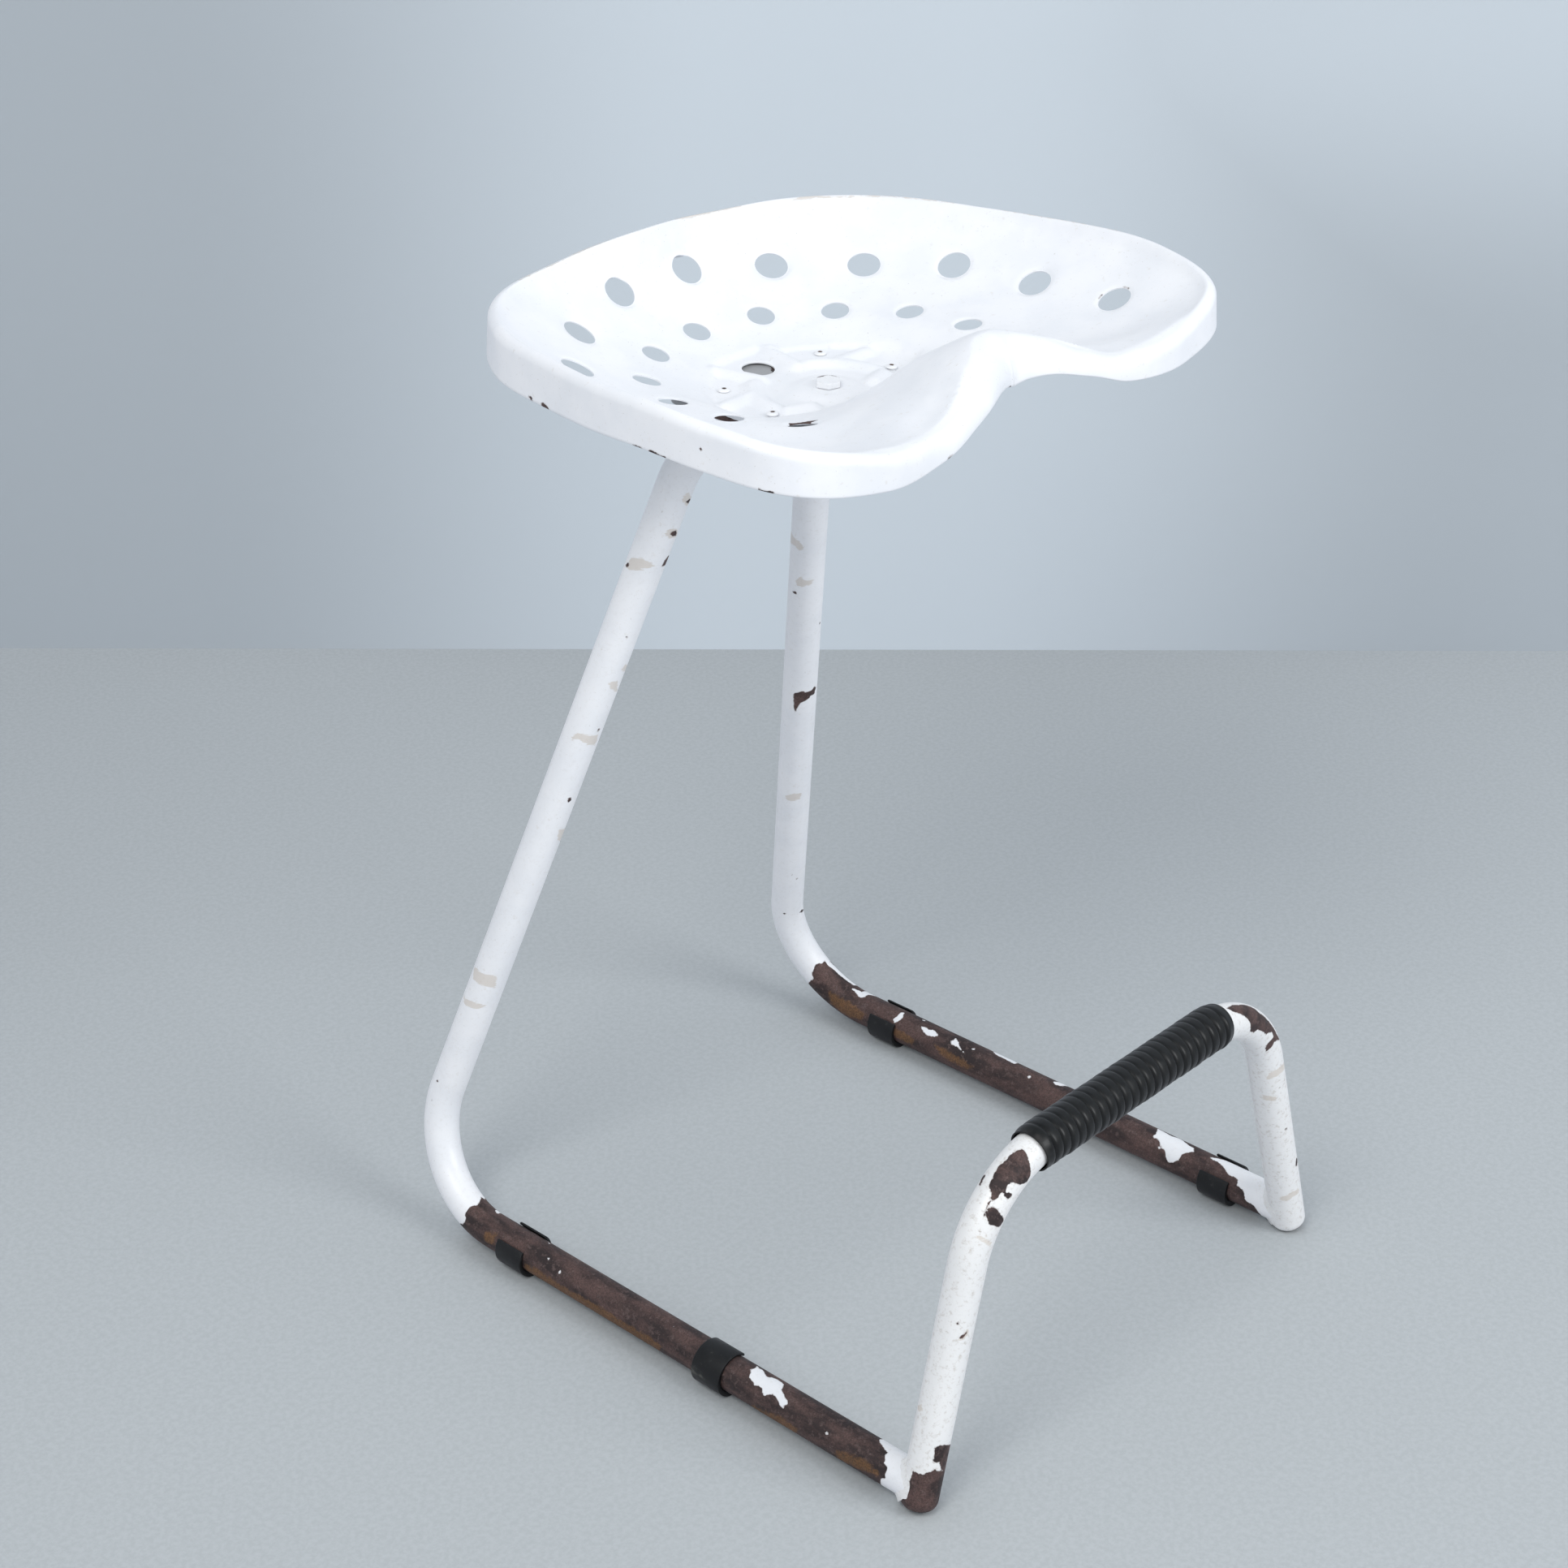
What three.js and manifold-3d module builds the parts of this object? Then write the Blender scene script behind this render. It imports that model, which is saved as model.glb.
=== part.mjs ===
// A tractor seat on a bent-tube stool frame, in millimetres, +Z up.
// The origin is on the floor in the middle of the stool. The footrest faces -Y, the high back of the seat +Y.
import * as THREE from 'three';
import { mergeVertices } from 'three/addons/utils/BufferGeometryUtils.js';
import Module from 'manifold-3d';

const wasm = await Module();
wasm.setup();

// Fits and steps shared by the whole stool
const touchGap = 0.3;
const weldGap = 0.6;
const cutOverrun = 8;
const mergeGap = 0.005;
const turnStep = 10.5;

// Tube of the frame
const tubeRadius = 12.5;
const tubeWall = 1.8;
const tubeSides = 16;
const boreSides = 8;

// Runners, rear bends and rear legs
const glideSole = 4;
const frontLine = -231.6;
const runnerFrontHalf = 201.4;
const runnerRearHalf = 198.5;
const runnerLength = 484;
const rearBend = 68;
const armHalf = 56.3;
const armBend = 60;
const armCornerBack = 58.6;
const armFrontReach = 34;

// Footrest loop
const footrestHeight = 218;
const footrestHalf = 144.1;
const footrestLean = 3.9;
const footrestBend = 76;
const legEndRound = 8;
const legEndWall = 3;
const legVentRadius = 2.5;

// Ribbed sleeve of the footrest
const sleeveWall = 1.5;
const ribHeight = 1.2;
const ribPitch = 7.9;
const ribCount = 25;
const ribCrestShare = 0.25;
const ribRootShare = 0.75;
const sleeveShift = 1;
const sleeveLipWall = 1;
const sleeveLipSpread = 0.9;

// Glide clips under the runners
const glideWall = 1.6;
const glideSoleWear = 0.35;
const glideLength = 25;
const glideMouth = 96;
const glideTurn = 8;
const glideTurnedAway = -95;
const glideStep = 22.5;
const nearRearPlaceShare = 0.757;
const nearFrontPlaceShare = 0.362;
const farRearPlaceShare = 0.762;
const farFrontPlaceShare = 0.113;

// Weld beads of the front corners
const beadSize = 3.6;
const beadRoot = 0.9;
const beadLength = 8;

// Seat pan: distances from the front line and from the floor
const seatSetback = 265;
const seatFloor = 623.5;
const seatDepth = 70;
const seatHalfWidth = 219.5;
const seatSheet = 2;
const rimRoll = 6.3;
const flangeDepth = 22.5;
const flangeFlare = 15.3;
const bossRadius = 22;
const bossRise = 3;
const bossSlope = 5;
const floorRingShares = [0.55, 1, 1.23, 1.82, 2.55];
const bowlRingShares = [0.12, 0.24, 0.36, 0.5, 0.64, 0.76, 0.85, 0.92, 0.965];
const columnStep = 6;
const frontColumnStep = 4;
const frontColumns = 120;
const rollTurns = [90, 50, 0];
const slopeNudge = 0.9;
const turnNudge = 0.5;

// Rim outline, turned from the back round to the pommel: radius as a share of the seat's half width
const rimTurns = [0, 20, 40, 60, 80, 100, 115, 128, 139, 148, 156, 163, 169, 175, 180];
const rimRadiusShares = [0.744, 0.813, 0.92, 0.941, 0.923, 0.976, 1.064, 1.108, 0.988, 0.865, 0.79, 0.704,
  0.628, 0.584, 0.576];
// Crest of the rim as a share of the seat's depth
const crestTurns = [0, 30, 60, 90, 110, 128, 142, 152, 160, 167, 174, 180];
const crestShares = [0.987, 0.893, 0.904, 0.933, 0.951, 0.824, 0.6, 0.586, 0.729, 0.889, 0.963, 1];
// Turned-down flange as shares of its depth and flare
const flangeTurns = [0, 60, 110, 130, 140, 150, 157, 163, 170, 180];
const flangeDepthShares = [1, 1.02, 0.93, 0.87, 0.72, 0.46, 0.32, 0.38, 0.7, 1.08];
const flangeFlareShares = [0.15, 0.07, 0.03, 0.1, 0.11, 0.09, 0.12, 0.3, 0.65, 1];
// Bowl height as a share of the seat's depth, one row for each turn, one column for each share of the radius
const bowlTurns = [0, 15, 30, 45, 90, 120, 135, 150, 165, 180];
const bowlReachShares = [0, 0.15, 0.35, 0.5, 0.65, 0.8, 0.9, 0.95, 1];
const bowlShares = [
  [0, 0, 0.04, 0.126, 0.274, 0.44, 0.56],
  [0, 0, 0.055, 0.167, 0.345, 0.514, 0.645],
  [0, 0.01, 0.09, 0.226, 0.4, 0.593, 0.704],
  [0, 0.02, 0.13, 0.27, 0.48, 0.673, 0.78],
  [0, 0.06, 0.24, 0.31, 0.42, 0.6, 0.73],
  [0.02, 0.18, 0.32, 0.35, 0.49, 0.66, 0.755],
  [0.04, 0.24, 0.38, 0.41, 0.48, 0.58, 0.64],
  [0.03, 0.26, 0.44, 0.55, 0.58, 0.57, 0.575],
  [0.02, 0.25, 0.46, 0.68, 0.81, 0.85, 0.86],
  [0.01, 0.24, 0.456, 0.65, 0.825, 0.935, 0.98],
];

// Holes of the pan
const holeSides = 10;
const innerHoleRadius = 9;
const innerHoleCircle = 114.5;
const innerHoleTurns = [0, 25.5, 50.5, 76, 100.4, 124];
const outerHoleRadius = 10.6;
const outerHoleTurns = [11.5, 34.3, 56.8, 77.9, 98.3, 117.4];
const outerHoleShares = [0.92, 0.807, 0.773, 0.835, 0.83, 0.833];
const bigHoleRadius = 10.7;
const bigHoleBack = 60.2;

// Mounting plate between the arms and the pan
const plateThick = 4;
const plateMargin = 15.7;
const plateFront = 26;
const plateBack = 74;
const plateCorner = 10;
const cornerSteps = 4;

// Bolts: the screws' places are given from the middle of the boss
const screwRadius = 2.5;
const screwHeadRadius = 4;
const screwHead = 1.6;
const rearScrewHalf = 45.5;
const rearScrewBack = 47.5;
const frontScrewBack = -4;
const washerThick = 1;
const washerMargin = 3;
const nutThick = 4;
const nutMargin = 2.3;
const threadTail = 2;
const drillClear = 0.3;
const centreBoltRadius = 5;
const centreHeadRadius = 8.6;
const centreHead = 4;
const roundSides = 10;
const hexSides = 6;

// Values that follow from the sizes above
const runnerHeight = tubeRadius + glideSole;
const plateTop = seatFloor - seatSheet - touchGap;
const armHeight = plateTop - plateThick - touchGap - tubeRadius;
const seatMiddle = frontLine + seatSetback;
const plateHalfWidth = armHalf + plateMargin;
const X = new THREE.Vector3(1, 0, 0);
const Y = new THREE.Vector3(0, 1, 0);
const Z = new THREE.Vector3(0, 0, 1);
const flipX = (p) => new THREE.Vector3(-p.x, p.y, p.z);

const paint = { color: 0xe9edf2, roughness: 0.35, metalness: 0.0 };
const bareSteel = { color: 0x6a5148, roughness: 0.75, metalness: 0.35 };
const blackPlastic = { color: 0x1c1d1f, roughness: 0.6, metalness: 0.0 };
const sleeveRubber = { color: 0x26272a, roughness: 0.7, metalness: 0.0 };
const zinc = { color: 0x9a9c9e, roughness: 0.45, metalness: 0.8 };

const group = new THREE.Group();

function addMesh(name, geometry, look) {
  const mesh = new THREE.Mesh(geometry, new THREE.MeshStandardMaterial(look));
  mesh.name = name;
  group.add(mesh);
}

// A closed geometry as a solid for joins and cuts, and back again
function solid(geometry) {
  const bare = geometry.clone();
  bare.deleteAttribute('normal');
  bare.deleteAttribute('uv');
  const merged = mergeVertices(bare, mergeGap);
  return new wasm.Manifold(new wasm.Mesh({
    numProp: 3,
    vertProperties: new Float32Array(merged.attributes.position.array),
    triVerts: new Uint32Array(merged.index.array),
  }));
}

function surface(body) {
  const mesh = body.getMesh();
  const geometry = new THREE.BufferGeometry();
  geometry.setAttribute('position', new THREE.BufferAttribute(new Float32Array(mesh.vertProperties), 3));
  geometry.setIndex(Array.from(mesh.triVerts));
  geometry.computeVertexNormals();
  return geometry;
}

// A cylinder or cone along any axis, from one end point
function rod(from, axis, length, radius, sides = roundSides, endRadius = radius) {
  const geometry = new THREE.CylinderGeometry(endRadius, radius, length, sides);
  geometry.translate(0, length / 2, 0);
  const turn = new THREE.Quaternion().setFromUnitVectors(Y, axis.clone().normalize());
  return geometry.applyQuaternion(turn).translate(from.x, from.y, from.z);
}

// A run of straight lines whose corners are rounded by arcs, read by its length
class BentPath {
  constructor(corners, radii) {
    this.pieces = [];
    let from = corners[0].clone();
    for (let i = 1; i < corners.length; i += 1) {
      const into = corners[i].clone().sub(corners[i - 1]).normalize();
      if (i === corners.length - 1) {
        this.addLine(from, corners[i]);
        break;
      }
      const out = corners[i + 1].clone().sub(corners[i]).normalize();
      const turn = into.angleTo(out);
      const radius = radii[i - 1];
      const start = corners[i].clone().addScaledVector(into, -radius * Math.tan(turn / 2));
      const inward = out.clone().addScaledVector(into, -out.dot(into)).normalize();
      this.addLine(from, start);
      this.pieces.push({ length: radius * turn, start, into, inward, radius, turn });
      from = corners[i].clone().addScaledVector(out, radius * Math.tan(turn / 2));
    }
    this.length = this.pieces.reduce((sum, piece) => sum + piece.length, 0);
  }

  addLine(from, to) {
    const into = to.clone().sub(from);
    this.pieces.push({ length: into.length(), start: from.clone(), into: into.normalize(), turn: 0 });
  }

  at(distance) {
    let left = distance;
    const last = this.pieces[this.pieces.length - 1];
    for (const piece of this.pieces) {
      if (left > piece.length && piece !== last) {
        left -= piece.length;
        continue;
      }
      if (piece.turn === 0) {
        return { point: piece.start.clone().addScaledVector(piece.into, left), tangent: piece.into.clone() };
      }
      const angle = left / piece.radius;
      return {
        point: piece.start.clone().addScaledVector(piece.into, piece.radius * Math.sin(angle))
          .addScaledVector(piece.inward, piece.radius * (1 - Math.cos(angle))),
        tangent: piece.into.clone().multiplyScalar(Math.cos(angle))
          .addScaledVector(piece.inward, Math.sin(angle)),
      };
    }
    return null;
  }

  // Lengths of the places that need a section: the ends, and even steps round each bend
  stations() {
    const marks = [0];
    let sum = 0;
    for (const piece of this.pieces) {
      const steps = piece.turn === 0 ? 1 : Math.ceil(THREE.MathUtils.radToDeg(piece.turn) / turnStep);
      for (let k = 1; k <= steps; k += 1) marks.push(sum + piece.length * k / steps);
      sum += piece.length;
    }
    return marks;
  }
}

// The same path for ExtrudeGeometry, with its sections only at the stations
class StationCurve extends THREE.Curve {
  constructor(path) {
    super();
    this.frames = path.stations().map((mark) => path.at(mark));
  }

  frame(u) {
    return this.frames[Math.round(u * (this.frames.length - 1))];
  }

  getPointAt(u) {
    return this.frame(u).point.clone();
  }

  getTangentAt(u) {
    return this.frame(u).tangent.clone();
  }
}

function circlePoints(radius, sides) {
  return Array.from({ length: sides }, (_, k) => new THREE.Vector2(
    radius * Math.cos(2 * Math.PI * k / sides), radius * Math.sin(2 * Math.PI * k / sides)));
}

function tubeAlong(path, radius, bore) {
  const shape = new THREE.Shape(circlePoints(radius, tubeSides));
  if (bore > 0) shape.holes.push(new THREE.Path(circlePoints(bore, boreSides)));
  const curve = new StationCurve(path);
  return new THREE.ExtrudeGeometry(shape, { steps: curve.frames.length - 1, extrudePath: curve });
}

// Smooth curve through a table: slopes from the neighbours, flat at both ends
function smooth(places, values, place) {
  const last = places.length - 1;
  if (place <= places[0]) return values[0];
  if (place >= places[last]) return values[last];
  let i = 0;
  while (place > places[i + 1]) i += 1;
  const slope = (k) => (k === 0 || k === last ? 0
    : (values[k + 1] - values[k - 1]) / (places[k + 1] - places[k - 1]));
  const span = places[i + 1] - places[i];
  const u = (place - places[i]) / span;
  return (1 + 2 * u) * (1 - u) ** 2 * values[i] + u * (1 - u) ** 2 * span * slope(i)
    + u * u * (3 - 2 * u) * values[i + 1] + u * u * (u - 1) * span * slope(i + 1);
}

// Seat pan. Its plan is polar about the boss: turn 0 is the back, 180 the pommel.
const rimRadius = (turn) => seatHalfWidth * smooth(rimTurns, rimRadiusShares, turn);
const crestHeight = (turn) => seatDepth * smooth(crestTurns, crestShares, turn);

function bowlHeight(turn, radius) {
  const reach = Math.min(1, radius / rimRadius(turn));
  const column = bowlShares[0].map((_, k) => smooth(bowlTurns, bowlShares.map((row) => row[k]), turn));
  const heights = [0, ...column.map((share) => share * seatDepth), crestHeight(turn)];
  const boss = 1 - THREE.MathUtils.smoothstep(radius, bossRadius, bossRadius + bossSlope);
  return seatFloor + Math.max(smooth(bowlReachShares, heights, reach), boss * bossRise);
}

function panPoint(turn, radius) {
  const angle = THREE.MathUtils.degToRad(turn);
  return new THREE.Vector3(
    radius * Math.sin(angle), seatMiddle + radius * Math.cos(angle), bowlHeight(turn, radius));
}

// Outward direction of the rim in plan, square to its outline
function rimOutward(turn) {
  const angle = THREE.MathUtils.degToRad(turn);
  const growth = (rimRadius(turn + turnNudge) - rimRadius(turn - turnNudge))
    / THREE.MathUtils.degToRad(2 * turnNudge);
  const radius = rimRadius(turn);
  return new THREE.Vector3(
    radius * Math.sin(angle) - growth * Math.cos(angle),
    radius * Math.cos(angle) + growth * Math.sin(angle), 0).normalize();
}

function panNormal(turn, radius) {
  const middle = new THREE.Vector3(0, seatMiddle, 0);
  const here = panPoint(turn, radius).sub(middle);
  const height = (x, y) => bowlHeight(
    Math.abs(THREE.MathUtils.radToDeg(Math.atan2(x, y))), Math.hypot(x, y));
  const growX = height(here.x + slopeNudge, here.y) - height(here.x - slopeNudge, here.y);
  const growY = height(here.x, here.y + slopeNudge) - height(here.x, here.y - slopeNudge);
  return new THREE.Vector3(-growX, -growY, 2 * slopeNudge).normalize();
}

// One column of the pan's section: top of the bowl, rolled rim, flange, and back along the underside
function panColumn(turn) {
  const rim = rimRadius(turn);
  const floorRings = floorRingShares.map((share) => share * bossRadius);
  const firstFree = floorRings[floorRings.length - 1];
  const radii = [...floorRings, ...bowlRingShares.map((share) => firstFree + (rim - firstFree) * share)];
  const crest = panPoint(turn, rim);
  const core = crest.clone().addScaledVector(Z, -rimRoll);
  const outward = rimOutward(turn);
  const onRoll = (radius, degrees) => {
    const angle = THREE.MathUtils.degToRad(degrees);
    return core.clone().addScaledVector(outward, radius * Math.cos(angle))
      .addScaledVector(Z, radius * Math.sin(angle));
  };
  const drop = flangeDepth * smooth(flangeTurns, flangeDepthShares, turn);
  const flare = flangeFlare * smooth(flangeTurns, flangeFlareShares, turn);
  const lip = core.clone().addScaledVector(outward, rimRoll + flare).addScaledVector(Z, -drop);
  const along = lip.clone().sub(onRoll(rimRoll, 0)).normalize();
  const acrossSheet = outward.clone().negate().addScaledVector(along, outward.dot(along)).normalize();
  const top = radii.map((radius) => panPoint(turn, radius));
  const under = radii.map((radius, k) => top[k].clone().addScaledVector(panNormal(turn, radius), -seatSheet));
  const roll = rollTurns.map((degrees) => onRoll(rimRoll, degrees));
  const rollUnder = rollTurns.map((degrees) => onRoll(rimRoll - seatSheet, degrees)).reverse();
  const lipUnder = lip.clone().addScaledVector(acrossSheet, seatSheet);
  return [...top, ...roll, lip, lipUnder, ...rollUnder, ...under.reverse()];
}

function panBlank() {
  const turns = [];
  for (let turn = 0; turn < frontColumns; turn += columnStep) turns.push(turn);
  for (let turn = frontColumns; turn <= 180; turn += frontColumnStep) turns.push(turn);
  const half = turns.map((turn) => panColumn(turn));
  const mirrored = half.slice(1, -1).reverse().map((column) => column.map(flipX));
  const columns = [...half, ...mirrored];
  const count = columns[0].length;
  const positions = columns.flat().flatMap((p) => [p.x, p.y, p.z]);
  const topMiddle = positions.length / 3;
  positions.push(0, seatMiddle, bowlHeight(0, 0), 0, seatMiddle, bowlHeight(0, 0) - seatSheet);
  const index = [];
  columns.forEach((_, i) => {
    const a = i * count;
    const b = ((i + 1) % columns.length) * count;
    index.push(topMiddle, b, a, topMiddle + 1, a + count - 1, b + count - 1);
    for (let k = 0; k < count - 1; k += 1) index.push(a + k, b + k, b + k + 1, a + k, b + k + 1, a + k + 1);
  });
  const geometry = new THREE.BufferGeometry();
  geometry.setAttribute('position', new THREE.BufferAttribute(new Float32Array(positions), 3));
  geometry.setIndex(index);
  return geometry;
}

// A drill through the sheet, square to it, at a turn and radius on one side
function drill(turn, radius, holeRadius, side) {
  const point = panPoint(turn, radius);
  const normal = panNormal(turn, radius);
  point.x *= side;
  normal.x *= side;
  const from = point.addScaledVector(normal, -cutOverrun);
  return solid(rod(from, normal, 2 * cutOverrun, holeRadius, holeSides));
}

const screwPlaces = [];
for (const side of [-1, 1]) {
  screwPlaces.push({ end: 'rear', side, x: side * rearScrewHalf, back: rearScrewBack });
  screwPlaces.push({ end: 'front', side, x: side * armHalf, back: frontScrewBack });
}

function straightDrill(x, back, radius, from, to) {
  return solid(rod(new THREE.Vector3(x, seatMiddle + back, from), Z, to - from, radius, roundSides));
}

let pan = solid(panBlank());
const drills = [drill(0, bigHoleBack, bigHoleRadius, 1)];
for (const side of [-1, 1]) {
  innerHoleTurns.forEach((turn) => {
    if (turn > 0 || side > 0) drills.push(drill(turn, innerHoleCircle, innerHoleRadius, side));
  });
  outerHoleTurns.forEach((turn, k) => {
    drills.push(drill(turn, rimRadius(turn) * outerHoleShares[k], outerHoleRadius, side));
  });
}
const screwDrill = screwRadius + drillClear;
const centreDrill = centreBoltRadius + drillClear;
for (const place of screwPlaces) {
  drills.push(straightDrill(place.x, place.back, screwDrill, plateTop, seatFloor + cutOverrun));
}
drills.push(straightDrill(0, 0, centreDrill, plateTop, seatFloor + cutOverrun));
for (const tool of drills) pan = pan.subtract(tool);
addMesh('seat_pan', surface(pan), paint);

// Mounting plate with its five drilled holes
const plateShape = new THREE.Shape();
const plateLeft = -plateHalfWidth;
plateShape.moveTo(plateLeft + plateCorner, -plateFront);
plateShape.lineTo(plateHalfWidth - plateCorner, -plateFront);
plateShape.quadraticCurveTo(plateHalfWidth, -plateFront, plateHalfWidth, plateCorner - plateFront);
plateShape.lineTo(plateHalfWidth, plateBack - plateCorner);
plateShape.quadraticCurveTo(plateHalfWidth, plateBack, plateHalfWidth - plateCorner, plateBack);
plateShape.lineTo(plateLeft + plateCorner, plateBack);
plateShape.quadraticCurveTo(plateLeft, plateBack, plateLeft, plateBack - plateCorner);
plateShape.lineTo(plateLeft, plateCorner - plateFront);
plateShape.quadraticCurveTo(plateLeft, -plateFront, plateLeft + plateCorner, -plateFront);
const plateBlank = new THREE.ExtrudeGeometry(
  plateShape, { depth: plateThick, bevelEnabled: false, curveSegments: cornerSteps });
plateBlank.translate(0, seatMiddle, plateTop - plateThick);
let plate = solid(plateBlank);
for (const place of screwPlaces) {
  plate = plate.subtract(straightDrill(place.x, place.back, screwDrill, armHeight, seatFloor));
}
plate = plate.subtract(straightDrill(0, 0, centreDrill, armHeight, seatFloor));
addMesh('mounting_plate', surface(plate), paint);

// Footrest loop: leg, bar and leg of one tube
const legBottom = new THREE.Vector3(runnerFrontHalf, frontLine, runnerHeight);
const barCorner = new THREE.Vector3(footrestHalf, frontLine + footrestLean, footrestHeight);
const legRise = barCorner.clone().sub(legBottom).normalize();
// The rounded leg ends just reach the floor: the leg's lean lowers one side of each
const legLean = Math.acos(legRise.z);
const footLift = legEndRound * (1 - Math.cos(legLean)) + (tubeRadius - legEndRound) * Math.sin(legLean);
const legFoot = legBottom.clone().addScaledVector(legRise, (footLift - runnerHeight) / legRise.z);
const loopPath = new BentPath(
  [flipX(legFoot), flipX(barCorner), barCorner, legFoot], [footrestBend, footrestBend]);
const loopNormal = legRise.clone().cross(X).normalize();

// A closed profile of lengths and radii, swept along the loop's own line
function sweepRings(path, rings, sides) {
  const positions = [];
  for (const [mark, radius] of rings) {
    const { point, tangent } = path.at(mark);
    const across = tangent.clone().cross(loopNormal).normalize();
    for (let k = 0; k < sides; k += 1) {
      const angle = 2 * Math.PI * k / sides;
      const p = point.clone().addScaledVector(loopNormal, radius * Math.cos(angle))
        .addScaledVector(across, radius * Math.sin(angle));
      positions.push(p.x, p.y, p.z);
    }
  }
  const index = [];
  rings.forEach((_, i) => {
    const next = (i + 1) % rings.length;
    for (let k = 0; k < sides; k += 1) {
      const a = i * sides + k;
      const b = i * sides + (k + 1) % sides;
      const c = next * sides + k;
      const d = next * sides + (k + 1) % sides;
      index.push(a, b, d, a, d, c);
    }
  });
  const geometry = new THREE.BufferGeometry();
  geometry.setAttribute('position', new THREE.BufferAttribute(new Float32Array(positions), 3));
  geometry.setIndex(index);
  return geometry;
}

// The loop's rings: rounded end with a vent, wall, the other end, and back along the bore
const loopBore = tubeRadius - tubeWall;
const endRings = [[0, legVentRadius], [0, tubeRadius - legEndRound]];
for (const degrees of [45, 90]) {
  const angle = THREE.MathUtils.degToRad(degrees);
  endRings.push([legEndRound * (1 - Math.cos(angle)), tubeRadius - legEndRound * (1 - Math.sin(angle))]);
}
const boreEnd = legEndRound / 2;
const boreRings = [
  [legEndWall + boreEnd, loopBore], [legEndWall, loopBore - boreEnd], [legEndWall, legVentRadius]];
const fromFarEnd = (rings) => rings.map(([mark, radius]) => [loopPath.length - mark, radius]).reverse();
const bendMarks = loopPath.stations().slice(1, -1);
addMesh('footrest_loop', sweepRings(loopPath, [
  ...endRings, ...bendMarks.map((mark) => [mark, tubeRadius]), ...fromFarEnd(endRings),
  ...fromFarEnd(boreRings), ...bendMarks.slice().reverse().map((mark) => [mark, loopBore]), ...boreRings,
], tubeSides), paint);

// Ribbed sleeve round the bar
const sleeveBore = tubeRadius + touchGap;
const sleeveRoot = sleeveBore + sleeveWall;
const sleeveLength = ribCount * ribPitch;
const sleeveFrom = (loopPath.length - sleeveLength) / 2 - sleeveShift;
const sleeveTo = sleeveFrom + sleeveLength;
const sleeveRings = [[sleeveFrom, sleeveBore + sleeveLipSpread + sleeveLipWall]];
for (let k = 0; k < ribCount; k += 1) {
  sleeveRings.push([sleeveFrom + (k + ribCrestShare) * ribPitch, sleeveRoot + ribHeight]);
  sleeveRings.push([sleeveFrom + (k + ribRootShare) * ribPitch, sleeveRoot]);
}
sleeveRings.push([sleeveTo, sleeveBore + sleeveLipSpread + sleeveLipWall]);
sleeveRings.push([sleeveTo, sleeveBore + sleeveLipSpread]);
const boreMarks = loopPath.stations().filter((mark) => mark > sleeveFrom && mark < sleeveTo);
for (const mark of boreMarks.reverse()) {
  const nearEnd = Math.min(mark - sleeveFrom, sleeveTo - mark) < 2 * ribPitch;
  sleeveRings.push([mark, nearEnd ? sleeveBore + sleeveLipSpread / 2 : sleeveBore]);
}
sleeveRings.push([sleeveFrom, sleeveBore + sleeveLipSpread]);
addMesh('footrest_sleeve', sweepRings(loopPath, sleeveRings, tubeSides), sleeveRubber);

// Frame tubes: runner, rear leg and arm. The runner's front end is cut to the round of the front leg.
const rearCorner = new THREE.Vector3(runnerRearHalf, frontLine + runnerLength, runnerHeight);
const armCorner = new THREE.Vector3(armHalf, seatMiddle + armCornerBack, armHeight);
const armEnd = new THREE.Vector3(armHalf, seatMiddle - armFrontReach, armHeight);

for (const [name, side] of [['left_frame_tube', -1], ['right_frame_tube', 1]]) {
  const place = (p) => new THREE.Vector3(side * p.x, p.y, p.z);
  const path = new BentPath([legBottom, rearCorner, armCorner, armEnd].map(place), [rearBend, armBend]);
  const legAxis = place(legRise);
  const cutter = rod(place(legFoot).addScaledVector(legAxis, -cutOverrun), legAxis, footrestHeight,
    tubeRadius + weldGap, tubeSides);
  let tube = solid(tubeAlong(path, tubeRadius, tubeRadius - tubeWall)).subtract(solid(cutter));
  const screw = screwPlaces.find((at) => at.end === 'front' && at.side === side);
  const below = armHeight - tubeRadius - cutOverrun;
  tube = tube.subtract(straightDrill(screw.x, screw.back, screwDrill, below, seatFloor));
  addMesh(name, surface(tube), paint);

  // Weld bead: a cone round the runner's end that hugs the front leg
  const runnerWay = place(rearCorner).sub(place(legBottom)).normalize();
  const beadFrom = place(legBottom).addScaledVector(runnerWay, tubeRadius / 2);
  const cone = rod(beadFrom, runnerWay, tubeRadius / 2 + beadLength, tubeRadius + beadSize, tubeSides,
    tubeRadius + beadRoot);
  const runnerCutter = rod(place(legBottom), runnerWay, runnerLength / 2, tubeRadius + weldGap, tubeSides);
  const bead = solid(cone).subtract(solid(runnerCutter)).subtract(solid(cutter));
  addMesh(name.replace('frame_tube', 'corner_weld'), surface(bead), paint);
}

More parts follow.
